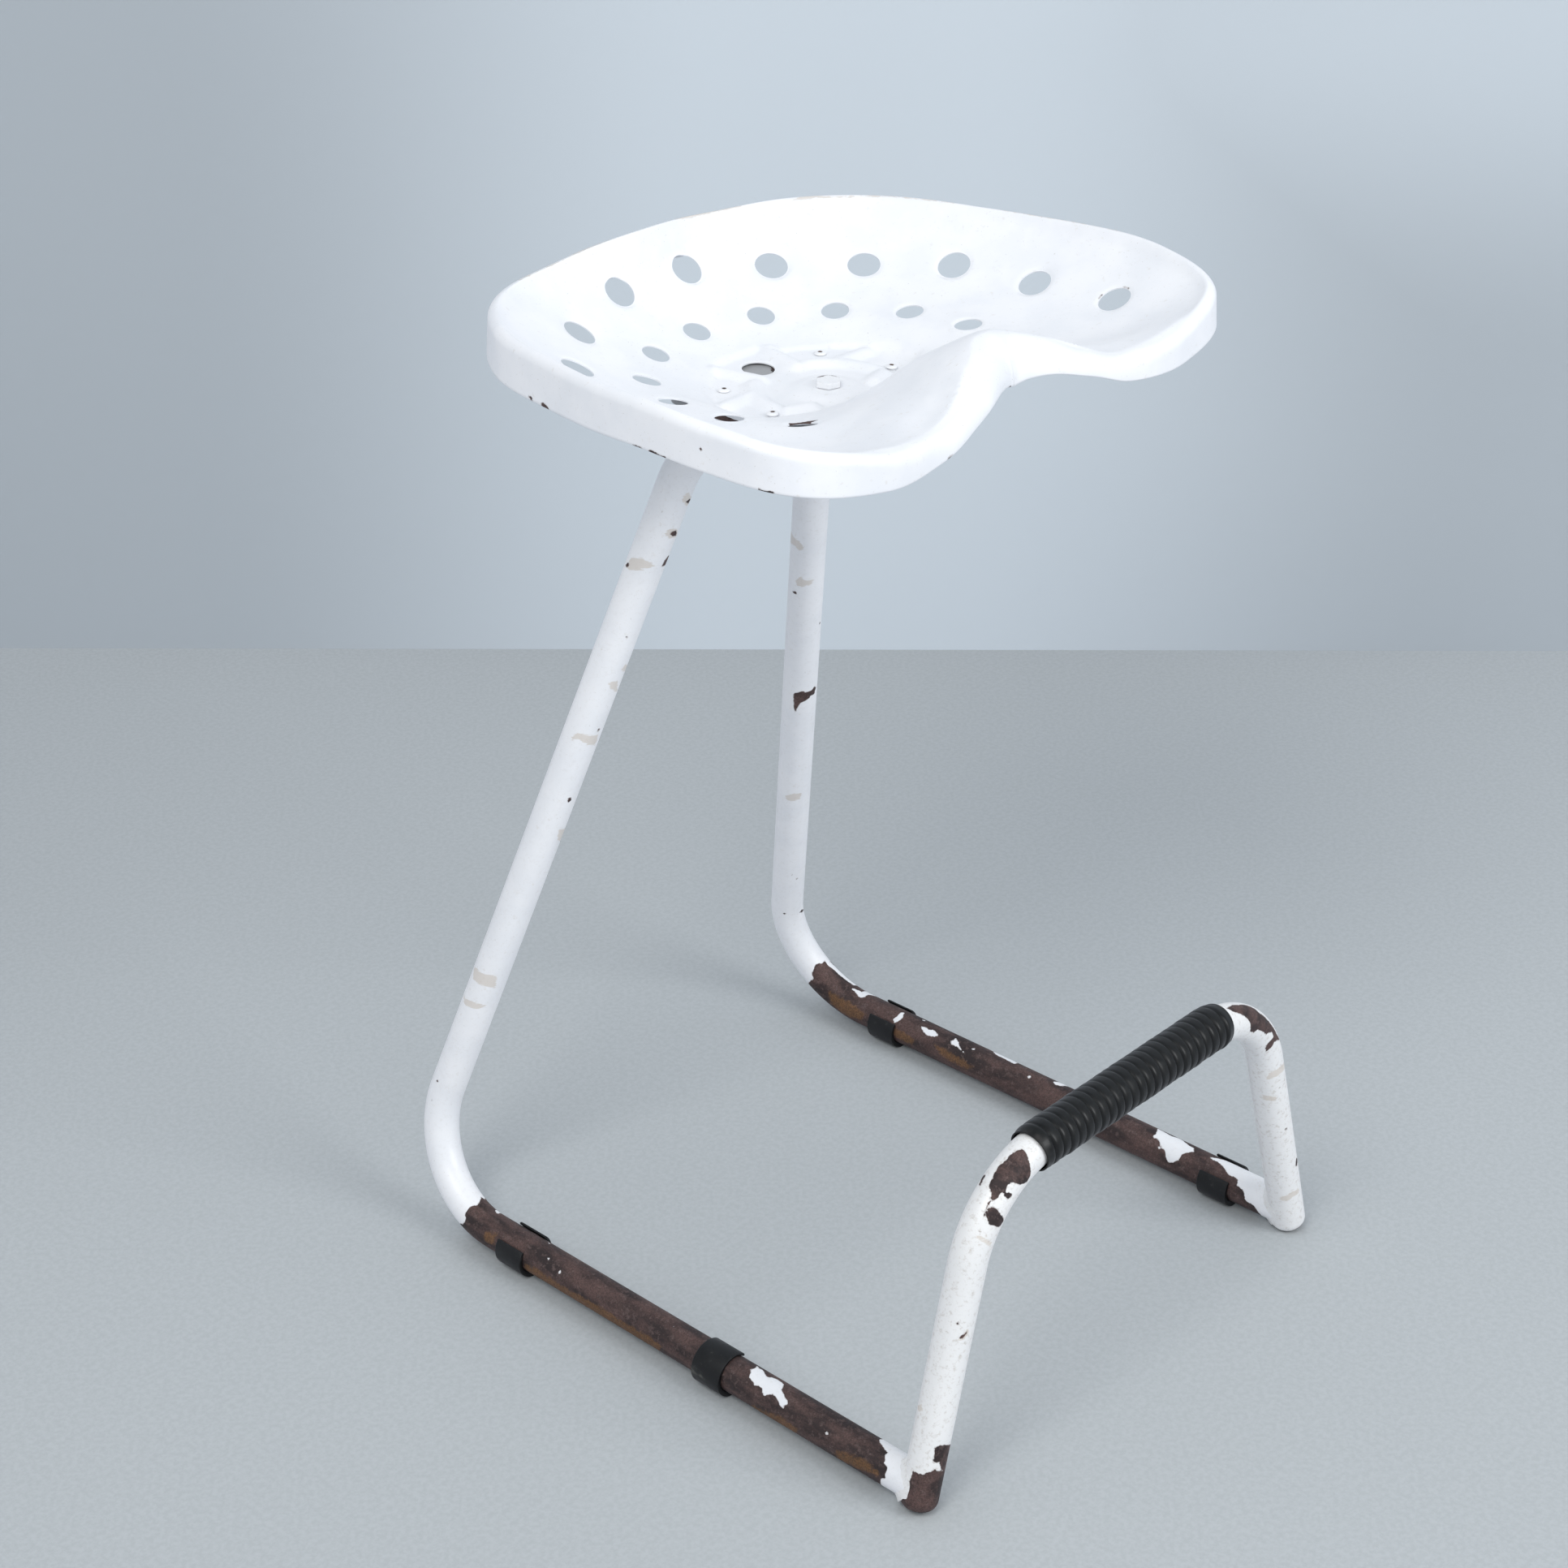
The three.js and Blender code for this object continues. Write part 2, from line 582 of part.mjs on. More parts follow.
// Glide clip: a C-shaped section round the runner, thicker below and worn flat on the floor
function glideShape(mouthTurn) {
  const inner = tubeRadius + touchGap;
  const outer = (runnerHeight + glideSoleWear + inner + glideWall) / 2;
  const drop = runnerHeight + glideSoleWear - outer;
  const soleHalf = THREE.MathUtils.radToDeg(Math.acos((runnerHeight - drop) / outer));
  const first = 90 + mouthTurn + glideMouth / 2;
  const last = 450 + mouthTurn - glideMouth / 2;
  const marks = [first];
  const firstStep = Math.ceil(first / glideStep) * glideStep;
  for (let angle = firstStep; angle < last; angle += glideStep) marks.push(angle);
  marks.push(last);
  const at = (radius, degrees, lower = 0) => {
    const angle = THREE.MathUtils.degToRad(degrees);
    return new THREE.Vector2(radius * Math.cos(angle), radius * Math.sin(angle) - lower);
  };
  const offSole = (angle) => Math.abs(((angle - 270) % 360 + 540) % 360 - 180) > soleHalf;
  const sole = [270 - soleHalf, 270 + soleHalf, 630 - soleHalf, 630 + soleHalf]
    .filter((angle) => angle > first && angle < last);
  const outerMarks = [...marks.filter(offSole), ...sole].sort((a, b) => b - a);
  return new THREE.Shape([
    ...marks.map((angle) => at(inner, angle)), ...outerMarks.map((angle) => at(outer, angle, drop))]);
}

function glideGeometry(side, placeShare, mouthTurn) {
  const front = new THREE.Vector3(side * runnerFrontHalf, frontLine, runnerHeight);
  const rear = new THREE.Vector3(side * runnerRearHalf, frontLine + runnerLength, runnerHeight);
  const geometry = new THREE.ExtrudeGeometry(
    glideShape(mouthTurn), { depth: glideLength, bevelEnabled: false });
  geometry.translate(0, 0, -glideLength / 2);
  const back = front.clone().sub(rear).normalize();
  const basis = new THREE.Matrix4().makeBasis(Z.clone().cross(back), Z, back);
  const point = front.lerp(rear, placeShare);
  return geometry.applyMatrix4(basis).translate(point.x, point.y, point.z);
}

addMesh('near_rear_glide', glideGeometry(-1, nearRearPlaceShare, glideTurn), blackPlastic);
addMesh('near_front_glide', glideGeometry(-1, nearFrontPlaceShare, glideTurnedAway), blackPlastic);
addMesh('far_rear_glide', glideGeometry(1, farRearPlaceShare, glideTurn), blackPlastic);
addMesh('far_front_glide', glideGeometry(1, farFrontPlaceShare, glideTurn), blackPlastic);

// Bolt, washer and nut through the pan at one place; the nut seats under what the bolt clamps
function fastener(name, x, back, radius, headRadius, head, clampBottom, look) {
  const turn = Math.abs(THREE.MathUtils.radToDeg(Math.atan2(x, back)));
  const reach = Math.hypot(x, back);
  let seatTop = bowlHeight(turn, reach);
  for (let k = 0; k < roundSides; k += 1) {
    const angle = 2 * Math.PI * k / roundSides;
    const px = x + headRadius * Math.sin(angle);
    const py = back + headRadius * Math.cos(angle);
    const rimTurn = Math.abs(THREE.MathUtils.radToDeg(Math.atan2(px, py)));
    seatTop = Math.max(seatTop, bowlHeight(rimTurn, Math.hypot(px, py)));
  }
  const y = seatMiddle + back;
  const headFrom = seatTop + touchGap;
  const washerTop = clampBottom - touchGap;
  const nutTop = washerTop - washerThick - touchGap;
  const nutBottom = nutTop - nutThick;
  const at = (z) => new THREE.Vector3(x, y, z);
  const tail = nutBottom - threadTail;
  const shank = solid(rod(at(tail), Z, headFrom + head / 2 - tail, radius));
  const crown = solid(rod(at(headFrom), Z, head, headRadius, roundSides, headRadius - head / 2));
  addMesh(name, surface(shank.add(crown)), look);
  const holeFrom = nutBottom - cutOverrun;
  const hole = solid(rod(at(holeFrom), Z, washerTop + cutOverrun - holeFrom, radius + drillClear));
  const washerBody = solid(rod(at(washerTop - washerThick), Z, washerThick, radius + washerMargin));
  addMesh(`${name}_washer`, surface(washerBody.subtract(hole)), zinc);
  const nutBody = solid(rod(at(nutBottom), Z, nutThick, radius + nutMargin, hexSides));
  addMesh(`${name}_nut`, surface(nutBody.subtract(hole)), zinc);
}

for (const { end, side, x, back } of screwPlaces) {
  const clampBottom = end === 'rear' ? plateTop - plateThick : armHeight - tubeRadius;
  const name = `${end}_${side < 0 ? 'left' : 'right'}_screw`;
  fastener(name, x, back, screwRadius, screwHeadRadius, screwHead, clampBottom, bareSteel);
}
fastener('centre_bolt', 0, 0, centreBoltRadius, centreHeadRadius, centreHead, plateTop - plateThick, paint);

export default group;
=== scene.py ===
import bpy
import math
import numpy as np
from mathutils import Matrix
from mathutils.geometry import delaunay_2d_cdt


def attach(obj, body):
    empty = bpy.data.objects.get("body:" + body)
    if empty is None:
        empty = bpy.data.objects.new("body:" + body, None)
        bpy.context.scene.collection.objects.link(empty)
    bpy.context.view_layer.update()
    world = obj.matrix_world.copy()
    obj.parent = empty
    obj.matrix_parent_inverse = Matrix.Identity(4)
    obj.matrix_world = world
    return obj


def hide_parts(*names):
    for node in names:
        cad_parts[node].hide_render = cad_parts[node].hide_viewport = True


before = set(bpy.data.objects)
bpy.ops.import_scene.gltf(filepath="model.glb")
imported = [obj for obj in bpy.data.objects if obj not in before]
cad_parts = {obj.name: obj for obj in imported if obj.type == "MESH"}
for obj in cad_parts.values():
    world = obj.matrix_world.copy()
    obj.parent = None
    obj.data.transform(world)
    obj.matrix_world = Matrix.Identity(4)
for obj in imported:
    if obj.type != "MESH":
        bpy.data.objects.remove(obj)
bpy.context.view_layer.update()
scene = bpy.context.scene
print("frame loaded")


# Vectors are arrays whose last axis is x, y, z. Unit: the vector over its length
def unit(v):
    return v / np.linalg.norm(v, axis=-1, keepdims=True)


# Dot product: the sum of a b over x, y and z
def dot(a, b):
    return np.sum(a * b, axis=-1, keepdims=True)


# Angles of a circle's even steps: 2 pi i / count
def circleSteps(count):
    return 2 * np.pi * np.arange(count) / count


# Smooth step from 0 to 1 between two edges: 3 t^2 - 2 t^3
def ease(low, high, value):
    t = np.clip((value - low) / (high - low), 0, 1)
    return t * t * (3 - 2 * t)


# Smooth curve through a table: cubic Hermite pieces, slopes from the neighbours, flat at both ends.
# Values may have one column for each place.
def smooth(places, values, place):
    places = np.asarray(places, float)
    values = np.asarray(values, float)
    if values.ndim == 1:
        values = values[:, None]
    slopes = np.zeros_like(values)
    slopes[1:-1] = (values[2:] - values[:-2]) / (places[2:] - places[:-2])[:, None]
    place = np.clip(place, places[0], places[-1])
    i = np.clip(np.searchsorted(places, place, side="right") - 1, 0, len(places) - 2)
    span = places[i + 1] - places[i]
    u = (place - places[i]) / span
    column = np.arange(len(place)) if values.shape[1] > 1 else 0
    return ((1 + 2 * u) * (1 - u) ** 2 * values[i, column] + u * (1 - u) ** 2 * span * slopes[i, column]
            + u * u * (3 - 2 * u) * values[i + 1, column] + u * u * (u - 1) * span * slopes[i + 1, column])


# A line of straight runs joined by arcs. An arc of radius r that turns by t starts r tan(t/2) before its corner.
def bentPath(corners, radii):
    corners = np.asarray(corners, float)
    runs = []
    start = corners[0]
    for i in range(1, len(corners)):
        into = unit(corners[i] - corners[i - 1])
        if i == len(corners) - 1:
            runs.append((np.linalg.norm(corners[i] - start), start, into, into * 0, 0))
            break
        out = unit(corners[i + 1] - corners[i])
        turn = math.acos(float(np.dot(into, out)))
        setback = radii[i - 1] * math.tan(turn / 2)
        arcStart = corners[i] - into * setback
        runs.append((np.linalg.norm(arcStart - start), start, into, into * 0, 0))
        inward = unit(out - into * np.dot(out, into))
        runs.append((radii[i - 1] * turn, arcStart, into, inward, 1 / radii[i - 1]))
        start = corners[i] + out * setback
    return {
        "ends": np.cumsum([run[0] for run in runs]),
        "starts": np.array([run[1] for run in runs]),
        "intos": np.array([run[2] for run in runs]),
        "inwards": np.array([run[3] for run in runs]),
        "bends": np.array([run[4] for run in runs], float),
    }


# Points and directions of a path at lengths s: start + into sin(ks)/k + inward (1 - cos(ks))/k on an arc of bend k
def pathAt(path, marks):
    ends = path["ends"]
    i = np.clip(np.searchsorted(ends, marks, side="left"), 0, len(ends) - 1)
    left = marks - np.where(i > 0, ends[i - 1], 0)
    bend = path["bends"][i]
    angle = left * bend
    safe = np.where(bend == 0, 1, bend)
    forward = np.where(bend == 0, left, np.sin(angle) / safe)[..., None]
    sideways = np.where(bend == 0, 0, (1 - np.cos(angle)) / safe)[..., None]
    into, inward = path["intos"][i], path["inwards"][i]
    points = path["starts"][i] + into * forward + inward * sideways
    return points, into * np.cos(angle)[..., None] + inward * np.sin(angle)[..., None]


# Rings of points round a path: centre + r (up cos a + side sin a), with the side direction kept square to the path
def ringPoints(path, marks, radii, sides, reference):
    shape = (len(marks), sides)
    marks = np.broadcast_to(np.asarray(marks, float).reshape(len(marks), -1), shape)
    radii = np.broadcast_to(np.asarray(radii, float).reshape(len(radii), -1), shape)
    centre, tangent = pathAt(path, marks)
    side = unit(reference - tangent * dot(tangent, reference))
    up = np.cross(side, tangent)
    angle = np.broadcast_to(circleSteps(sides), shape)[..., None]
    points = centre + radii[..., None] * (up * np.cos(angle) + side * np.sin(angle))
    around = (np.arange(sides) * 2 * np.pi / sides + np.pi) % (2 * np.pi) - np.pi
    return points.reshape(-1, 3), marks.reshape(-1), np.broadcast_to(around, shape).reshape(-1)


# Quads between neighbouring rings; the rings close on themselves, and the last may join the first
def ringFaces(rings, sides, closed=False, first=0):
    i = np.arange(rings if closed else rings - 1)[:, None]
    k = np.arange(sides)[None, :]
    a, b = i * sides + k, i * sides + (k + 1) % sides
    c, d = (i + 1) % rings * sides + (k + 1) % sides, (i + 1) % rings * sides + k
    return first + np.stack([a, b, c, d], axis=-1).reshape(-1, 4)


farAway = 30.0  # millimetres, a distance at which no wear shows


# Signed distance to a polygon: distance to its nearest edge, negative inside
def polygonDistance(x, y, corners):
    distance = np.full(np.shape(x), 1e6)
    inside = np.zeros(np.shape(x), bool)
    for (ax, ay), (bx, by) in zip(corners, corners[1:] + corners[:1]):
        ex, ey = bx - ax, by - ay
        t = np.clip(((x - ax) * ex + (y - ay) * ey) / (ex * ex + ey * ey + 1e-9), 0, 1)
        distance = np.minimum(distance, np.hypot(x - ax - t * ex, y - ay - t * ey))
        inside ^= ((ay > y) != (by > y)) & (x < ax + (y - ay) * ex / (ey if ey else 1e-9))
    return np.where(inside, -distance, distance)


# Least signed distance to a list of strokes in space: distance to the line from a to b, less the stroke's radius
def strokeDistance(points, strokes):
    nearest = np.full(len(points), farAway)
    for ax, ay, az, bx, by, bz, radius in strokes:
        a, b = np.array([ax, ay, az]), np.array([bx, by, bz])
        along = b - a
        t = np.clip((points - a) @ along / (along @ along + 1e-9), 0, 1)[:, None]
        nearest = np.minimum(nearest, np.linalg.norm(points - a - t * along, axis=1) - radius)
    return nearest


# The values that painted pieces carry: distance to bare steel, distance to tape marks, and rust bloom
def paintValues(wear, tape=None, bloom=0.0):
    tape = np.full(len(wear), farAway) if tape is None else tape
    return {"wear": wear, "tape": tape, "bloom": np.full(len(wear), bloom)}


# A piece from points in millimetres and arrays of faces. If its faces point inward, its volume, the sum of
# a . (b x c) / 6 over its triangles, is negative, and they are turned round.
def makePiece(name, points, faces, material, nodes, values=None, sharp=35):
    points = np.asarray(points, float)
    faces = [np.asarray(part) for part in faces if len(part)]
    volume = 0.0
    for part in faces:
        for k in range(1, part.shape[1] - 1):
            volume += np.sum(points[part[:, 0]] * np.cross(points[part[:, k]], points[part[:, k + 1]]))
    if volume < 0:
        faces = [part[:, ::-1] for part in faces]
    mesh = bpy.data.meshes.new(name)
    mesh.from_pydata((points * 0.001).tolist(), [], [face for part in faces for face in part.tolist()])
    for key, numbers in (values or {}).items():
        layer = mesh.attributes.new(key, "FLOAT", "POINT")
        layer.data.foreach_set("value", np.asarray(numbers, np.float32))
    mesh.polygons.foreach_set("use_smooth", np.ones(len(mesh.polygons), bool))
    mesh.set_sharp_from_angle(angle=math.radians(sharp))
    mesh.materials.append(material)
    mesh.validate()
    piece = bpy.data.objects.new(name, mesh)
    scene.collection.objects.link(piece)
    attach(piece, "root")
    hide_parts(*nodes)
    return piece


# Node helpers: an input is fed by a link where the value is a socket, else it is set to the value
def feed(tree, node, inputs):
    for key, value in inputs.items():
        if isinstance(value, bpy.types.NodeSocket):
            tree.links.new(value, node.inputs[key])
        else:
            node.inputs[key].default_value = value
    return node


# A new node with its settings and its inputs
def addNode(tree, kind, inputs=None, **settings):
    node = tree.nodes.new(kind)
    for key, value in settings.items():
        setattr(node, key, value)
    return feed(tree, node, inputs or {})


# One operation on a, b and c, such as MULTIPLY_ADD for a b + c
def mathNode(tree, operation, a, b=0.0, c=0.0):
    return addNode(tree, "ShaderNodeMath", {0: a, 1: b, 2: c}, operation=operation).outputs[0]


# Noise whose blobs are about size metres wide; each seed gives a pattern of its own
def noiseNode(tree, coords, size, detail=3.0, rough=0.55, seed=0.0):
    inputs = {"Vector": coords, "W": seed, "Scale": 1 / size, "Detail": detail, "Roughness": rough}
    return addNode(tree, "ShaderNodeTexNoise", inputs, noise_dimensions="4D").outputs["Fac"]


# Colour a (1 - factor) + b factor; sockets 6 and 7 are the mix node's two colours
def mixColor(tree, factor, a, b, blend="MIX"):
    node = addNode(tree, "ShaderNodeMix", {"Factor": factor}, data_type="RGBA", blend_type=blend)
    a, b = ((*part, 1) if isinstance(part, tuple) else part for part in (a, b))
    return feed(tree, node, {6: a, 7: b}).outputs[2]


# Value carried from low..high to toLow..toHigh, eased at both ends and held beyond them
def remap(tree, value, low, high, toLow=0.0, toHigh=1.0, kind="SMOOTHSTEP"):
    return addNode(tree, "ShaderNodeMapRange", {
        "Value": value, "From Min": low, "From Max": high, "To Min": toLow, "To Max": toHigh},
        interpolation_type=kind).outputs["Result"]


# An empty node group with its named inputs and outputs
def newGroup(name, inputs, outputs):
    tree = bpy.data.node_groups.new(name, "ShaderNodeTree")
    for key, kind in inputs.items():
        tree.interface.new_socket(key, in_out="INPUT", socket_type=kind)
    for key, kind in outputs.items():
        tree.interface.new_socket(key, in_out="OUTPUT", socket_type=kind)
    return tree, tree.nodes.new("NodeGroupInput"), tree.nodes.new("NodeGroupOutput")


# The outputs of a group put to use in a tree
def useGroup(tree, group, inputs):
    return addNode(tree, "ShaderNodeGroup", inputs, node_tree=group).outputs


# A material, its tree, its shader and the object coordinates; other values go to the shader's own sockets
def newMaterial(name, **uniform):
    material = bpy.data.materials.new(name)
    material.use_nodes = True
    tree = material.node_tree
    shader = tree.nodes["Principled BSDF"]
    for key, value in uniform.items():
        shader.inputs[key.replace("_", " ")].default_value = value
    coords = addNode(tree, "ShaderNodeTexCoord").outputs["Object"]
    return material, tree, shader, coords


# A piece's own value, such as its wear, read at each point
def attributeOf(tree, name):
    return addNode(tree, "ShaderNodeAttribute", attribute_name=name).outputs["Fac"]


# Heights are in millimetres, so the bump node's distance is one millimetre
def bumpNode(tree, height):
    return addNode(tree, "ShaderNodeBump", {"Strength": 1.0, "Distance": 0.001, "Height": height}).outputs["Normal"]


# Where paint still holds: the distance to the bare patch's edge plus two sizes of noise, cut at zero.
# Edge is a thin line on the paint side of that cut.
def chipGroup():
    tree, source, target = newGroup(
        "chipMask", {"Distance": "NodeSocketFloat", "Ragged": "NodeSocketFloat", "Coords": "NodeSocketVector"},
        {"Paint": "NodeSocketFloat", "Edge": "NodeSocketFloat"})
    coords, ragged = source.outputs["Coords"], source.outputs["Ragged"]
    broad = mathNode(tree, "SUBTRACT", noiseNode(tree, coords, 0.006, 2.0, 0.5), 0.5)
    fine = mathNode(tree, "SUBTRACT", noiseNode(tree, coords, 0.0016, 2.0, 0.6, 3.0), 0.5)
    wobble = mathNode(tree, "MULTIPLY_ADD", fine, 0.55, broad)
    cut = mathNode(tree, "MULTIPLY_ADD", wobble, mathNode(tree, "MULTIPLY", ragged, 4.0), source.outputs["Distance"])
    paint = remap(tree, cut, -0.12, 0.12)
    edge = mathNode(tree, "MULTIPLY", remap(tree, cut, 0.1, 0.7, 1.0, 0.0), paint)
    tree.links.new(paint, target.inputs["Paint"])
    tree.links.new(edge, target.inputs["Edge"])
    return tree


# Bare tube: brown rust mottled at three sizes, with orange bloom and dark smooth places
def rustGroup():
    tree, source, target = newGroup(
        "bareSteel", {"Coords": "NodeSocketVector", "Bloom": "NodeSocketFloat"},
        {"Color": "NodeSocketColor", "Roughness": "NodeSocketFloat", "Height": "NodeSocketFloat"})
    coords = source.outputs["Coords"]
    stretched = addNode(tree, "ShaderNodeMapping", {"Vector": coords, "Scale": (1.0, 0.35, 1.0)}).outputs["Vector"]
    broad = noiseNode(tree, stretched, 0.012, 4.0, 0.6, 1.0)
    middle = noiseNode(tree, coords, 0.004, 4.0, 0.65, 2.0)
    grain = noiseNode(tree, coords, 0.0009, 3.0, 0.7, 5.0)
    body = mixColor(tree, remap(tree, broad, 0.38, 0.62), (0.03, 0.019, 0.019), (0.125, 0.073, 0.064))
    body = mixColor(tree, remap(tree, middle, 0.5, 0.66, 0.0, 0.6), body, (0.19, 0.135, 0.125))
    bloomAt = mathNode(tree, "MULTIPLY_ADD", mathNode(tree, "SUBTRACT", middle, 0.5), 1.6, source.outputs["Bloom"])
    body = mixColor(tree, remap(tree, bloomAt, 0.35, 0.9, 0.0, 0.7), body, (0.235, 0.115, 0.04))
    body = mixColor(tree, remap(tree, grain, 0.38, 0.62, 0.6, 0.0), body, (0.022, 0.015, 0.014))
    tree.links.new(body, target.inputs["Color"])
    tree.links.new(remap(tree, middle, 0.3, 0.7, 0.5, 0.78), target.inputs["Roughness"])
    height = mathNode(tree, "MULTIPLY_ADD", grain, 0.05, mathNode(tree, "MULTIPLY", middle, 0.12))
    tree.links.new(height, target.inputs["Height"])
    return tree


# White gloss paint brushed over older coats: faint warm and grey clouds, brush ripple, and dirt along the chips
def paintGroup():
    tree, source, target = newGroup(
        "oldPaint", {"Coords": "NodeSocketVector", "Edge": "NodeSocketFloat", "Tape": "NodeSocketFloat",
                     "Grime": "NodeSocketFloat"},
        {"Color": "NodeSocketColor", "Roughness": "NodeSocketFloat", "Height": "NodeSocketFloat"})
    coords = source.outputs["Coords"]
    cloud = noiseNode(tree, coords, 0.03, 3.0, 0.55, 7.0)
    spot = noiseNode(tree, coords, 0.0035, 3.0, 0.6, 8.0)
    base = mixColor(tree, remap(tree, cloud, 0.35, 0.65), (0.80, 0.815, 0.84), (0.845, 0.853, 0.87))
    base = mixColor(tree, remap(tree, spot, 0.6, 0.74, 0.0, 0.4), base, (0.66, 0.63, 0.58))
    fleck = noiseNode(tree, coords, 0.0013, 2.0, 0.6, 10.0)
    base = mixColor(tree, remap(tree, fleck, 0.67, 0.74, 0.0, 0.5), base, (0.45, 0.42, 0.38))
    grime = source.outputs["Grime"]
    rubbed = noiseNode(tree, coords, 0.0032, 5.0, 0.72, 12.0)
    dirt = mathNode(tree, "MULTIPLY", remap(tree, rubbed, 0.5, 0.68), grime)
    base = mixColor(tree, mathNode(tree, "MULTIPLY", grime, 0.7), base, (0.79, 0.785, 0.76))
    base = mixColor(tree, mathNode(tree, "MULTIPLY", dirt, 0.5), base, (0.46, 0.41, 0.35))
    streaks = noiseNode(tree, addNode(tree, "ShaderNodeMapping", {
        "Vector": coords, "Scale": (1.0, 1.0, 5.0)}).outputs["Vector"], 0.006, 3.0, 0.6, 9.0)
    tapeAt = mathNode(tree, "MULTIPLY_ADD", mathNode(tree, "SUBTRACT", streaks, 0.5), 5.0, source.outputs["Tape"])
    tape = remap(tree, tapeAt, -0.5, 0.5, 1.0, 0.0)
    base = mixColor(tree, mathNode(tree, "MULTIPLY", tape, 0.62), base, (0.60, 0.53, 0.45))
    base = mixColor(tree, mathNode(tree, "MULTIPLY", source.outputs["Edge"], 0.5), base, (0.30, 0.25, 0.22))
    tree.links.new(base, target.inputs["Color"])
    tree.links.new(remap(tree, cloud, 0.3, 0.7, 0.3, 0.42), target.inputs["Roughness"])
    ripple = noiseNode(tree, coords, 0.005, 2.0, 0.5, 11.0)
    height = mathNode(tree, "MULTIPLY_ADD", ripple, 0.03, mathNode(tree, "MULTIPLY", tape, -0.02))
    height = mathNode(tree, "MULTIPLY_ADD", dirt, -0.06, height)
    tree.links.new(height, target.inputs["Height"])
    return tree


chipMask, bareSteel, oldPaint = chipGroup(), rustGroup(), paintGroup()


# Paint over steel, read from the pieces' own wear, tape and bloom values. Ragged is how far chip edges wander, grime
# how dirty the paint is, and dull the share of its tone that is left, a painted shade wherever it is below one.
def paintedMaterial(name, ragged, grime, dull=1.0):
    material, tree, shader, coords = newMaterial(name)
    chips = useGroup(tree, chipMask, {"Distance": attributeOf(tree, "wear"), "Ragged": ragged, "Coords": coords})
    rust = useGroup(tree, bareSteel, {"Coords": coords, "Bloom": attributeOf(tree, "bloom")})
    paint = useGroup(tree, oldPaint, {"Coords": coords, "Edge": chips["Edge"], "Tape": attributeOf(tree, "tape"),
                                      "Grime": grime})
    # Dull multiplies the paint's tone down, a painted shade
    coat = mixColor(tree, 1.0, paint["Color"], (dull, dull, dull), "MULTIPLY")
    tree.links.new(mixColor(tree, chips["Paint"], rust["Color"], coat), shader.inputs["Base Color"])
    rough = addNode(tree, "ShaderNodeMix", {0: chips["Paint"], 2: rust["Roughness"], 3: paint["Roughness"]})
    tree.links.new(rough.outputs[0], shader.inputs["Roughness"])
    tree.links.new(remap(tree, chips["Paint"], 0.0, 1.0, 0.35, 0.0, "LINEAR"), shader.inputs["Metallic"])
    relief = addNode(tree, "ShaderNodeMix", {0: chips["Paint"], 2: rust["Height"], 3: paint["Height"]}).outputs[0]
    relief = mathNode(tree, "MULTIPLY_ADD", chips["Paint"], 0.22, relief)
    tree.links.new(bumpNode(tree, relief), shader.inputs["Normal"])
    return material


whitePaint = paintedMaterial("whitePaint", 0.75, 0.2)
loopPaint = paintedMaterial("loopPaint", 0.85, 1.0)
seatPaint = paintedMaterial("seatPaint", 0.5, 0.0)
rustyScrew = paintedMaterial("rustyScrew", 0.6, 0.3)
plateShadedPaint = paintedMaterial("plateShadedPaint", 0.75, 0.2, 0.36)  # paint tone cut to 0.36: painted shade for the plate under the seat


# Black rubber and plastic: dull scuffs where the piece's own scuff value is high, fine pebble, some dust
def blackMaterial(name, dark, pale, rough, pebble):
    material, tree, shader, coords = newMaterial(name, Specular_IOR_Level=0.3)
    broad = noiseNode(tree, coords, 0.008, 3.0, 0.6, 13.0)
    fine = noiseNode(tree, coords, 0.0012, 3.0, 0.65, 14.0)
    scuffAt = mathNode(tree, "MULTIPLY_ADD", mathNode(tree, "SUBTRACT", broad, 0.5), 1.5, attributeOf(tree, "scuff"))
    scuff = remap(tree, scuffAt, 0.3, 0.8)
    base = mixColor(tree, remap(tree, broad, 0.35, 0.7), dark, tuple(1.7 * part for part in dark))
    base = mixColor(tree, mathNode(tree, "MULTIPLY", scuff, 0.8), base, pale)
    base = mixColor(tree, remap(tree, fine, 0.62, 0.75, 0.0, 0.25), base, pale)
    tree.links.new(base, shader.inputs["Base Color"])
    tree.links.new(remap(tree, mathNode(tree, "MULTIPLY_ADD", scuff, 0.4, broad), 0.3, 0.9, rough, rough + 0.25),
                   shader.inputs["Roughness"])
    tree.links.new(bumpNode(tree, mathNode(tree, "MULTIPLY", fine, pebble)), shader.inputs["Normal"])
    return material


sleeveRubber = blackMaterial("sleeveRubber", (0.003, 0.0036, 0.0036), (0.03, 0.026, 0.025), 0.3, 0.05)
clipPlastic = blackMaterial("clipPlastic", (0.004, 0.0045, 0.005), (0.13, 0.13, 0.115), 0.38, 0.05)


# Zinc plate gone dull, with rust creeping in where the noise passes rustFrom
def zincMaterial(name, rustFrom):
    material, tree, shader, coords = newMaterial(name)
    rust = useGroup(tree, bareSteel, {"Coords": coords, "Bloom": 0.25})
    cloud = noiseNode(tree, coords, 0.003, 3.0, 0.6, 17.0)
    amount = remap(tree, cloud, rustFrom, rustFrom + 0.12)
    zinc = mixColor(tree, remap(tree, cloud, 0.3, 0.7), (0.42, 0.42, 0.43), (0.58, 0.58, 0.57))
    tree.links.new(mixColor(tree, amount, zinc, rust["Color"]), shader.inputs["Base Color"])
    tree.links.new(remap(tree, amount, 0.0, 1.0, 0.85, 0.25, "LINEAR"), shader.inputs["Metallic"])
    tree.links.new(remap(tree, amount, 0.0, 1.0, 0.42, 0.75, "LINEAR"), shader.inputs["Roughness"])
    tree.links.new(bumpNode(tree, rust["Height"]), shader.inputs["Normal"])
    return material


dullZinc = zincMaterial("dullZinc", 0.6)
print("materials made")

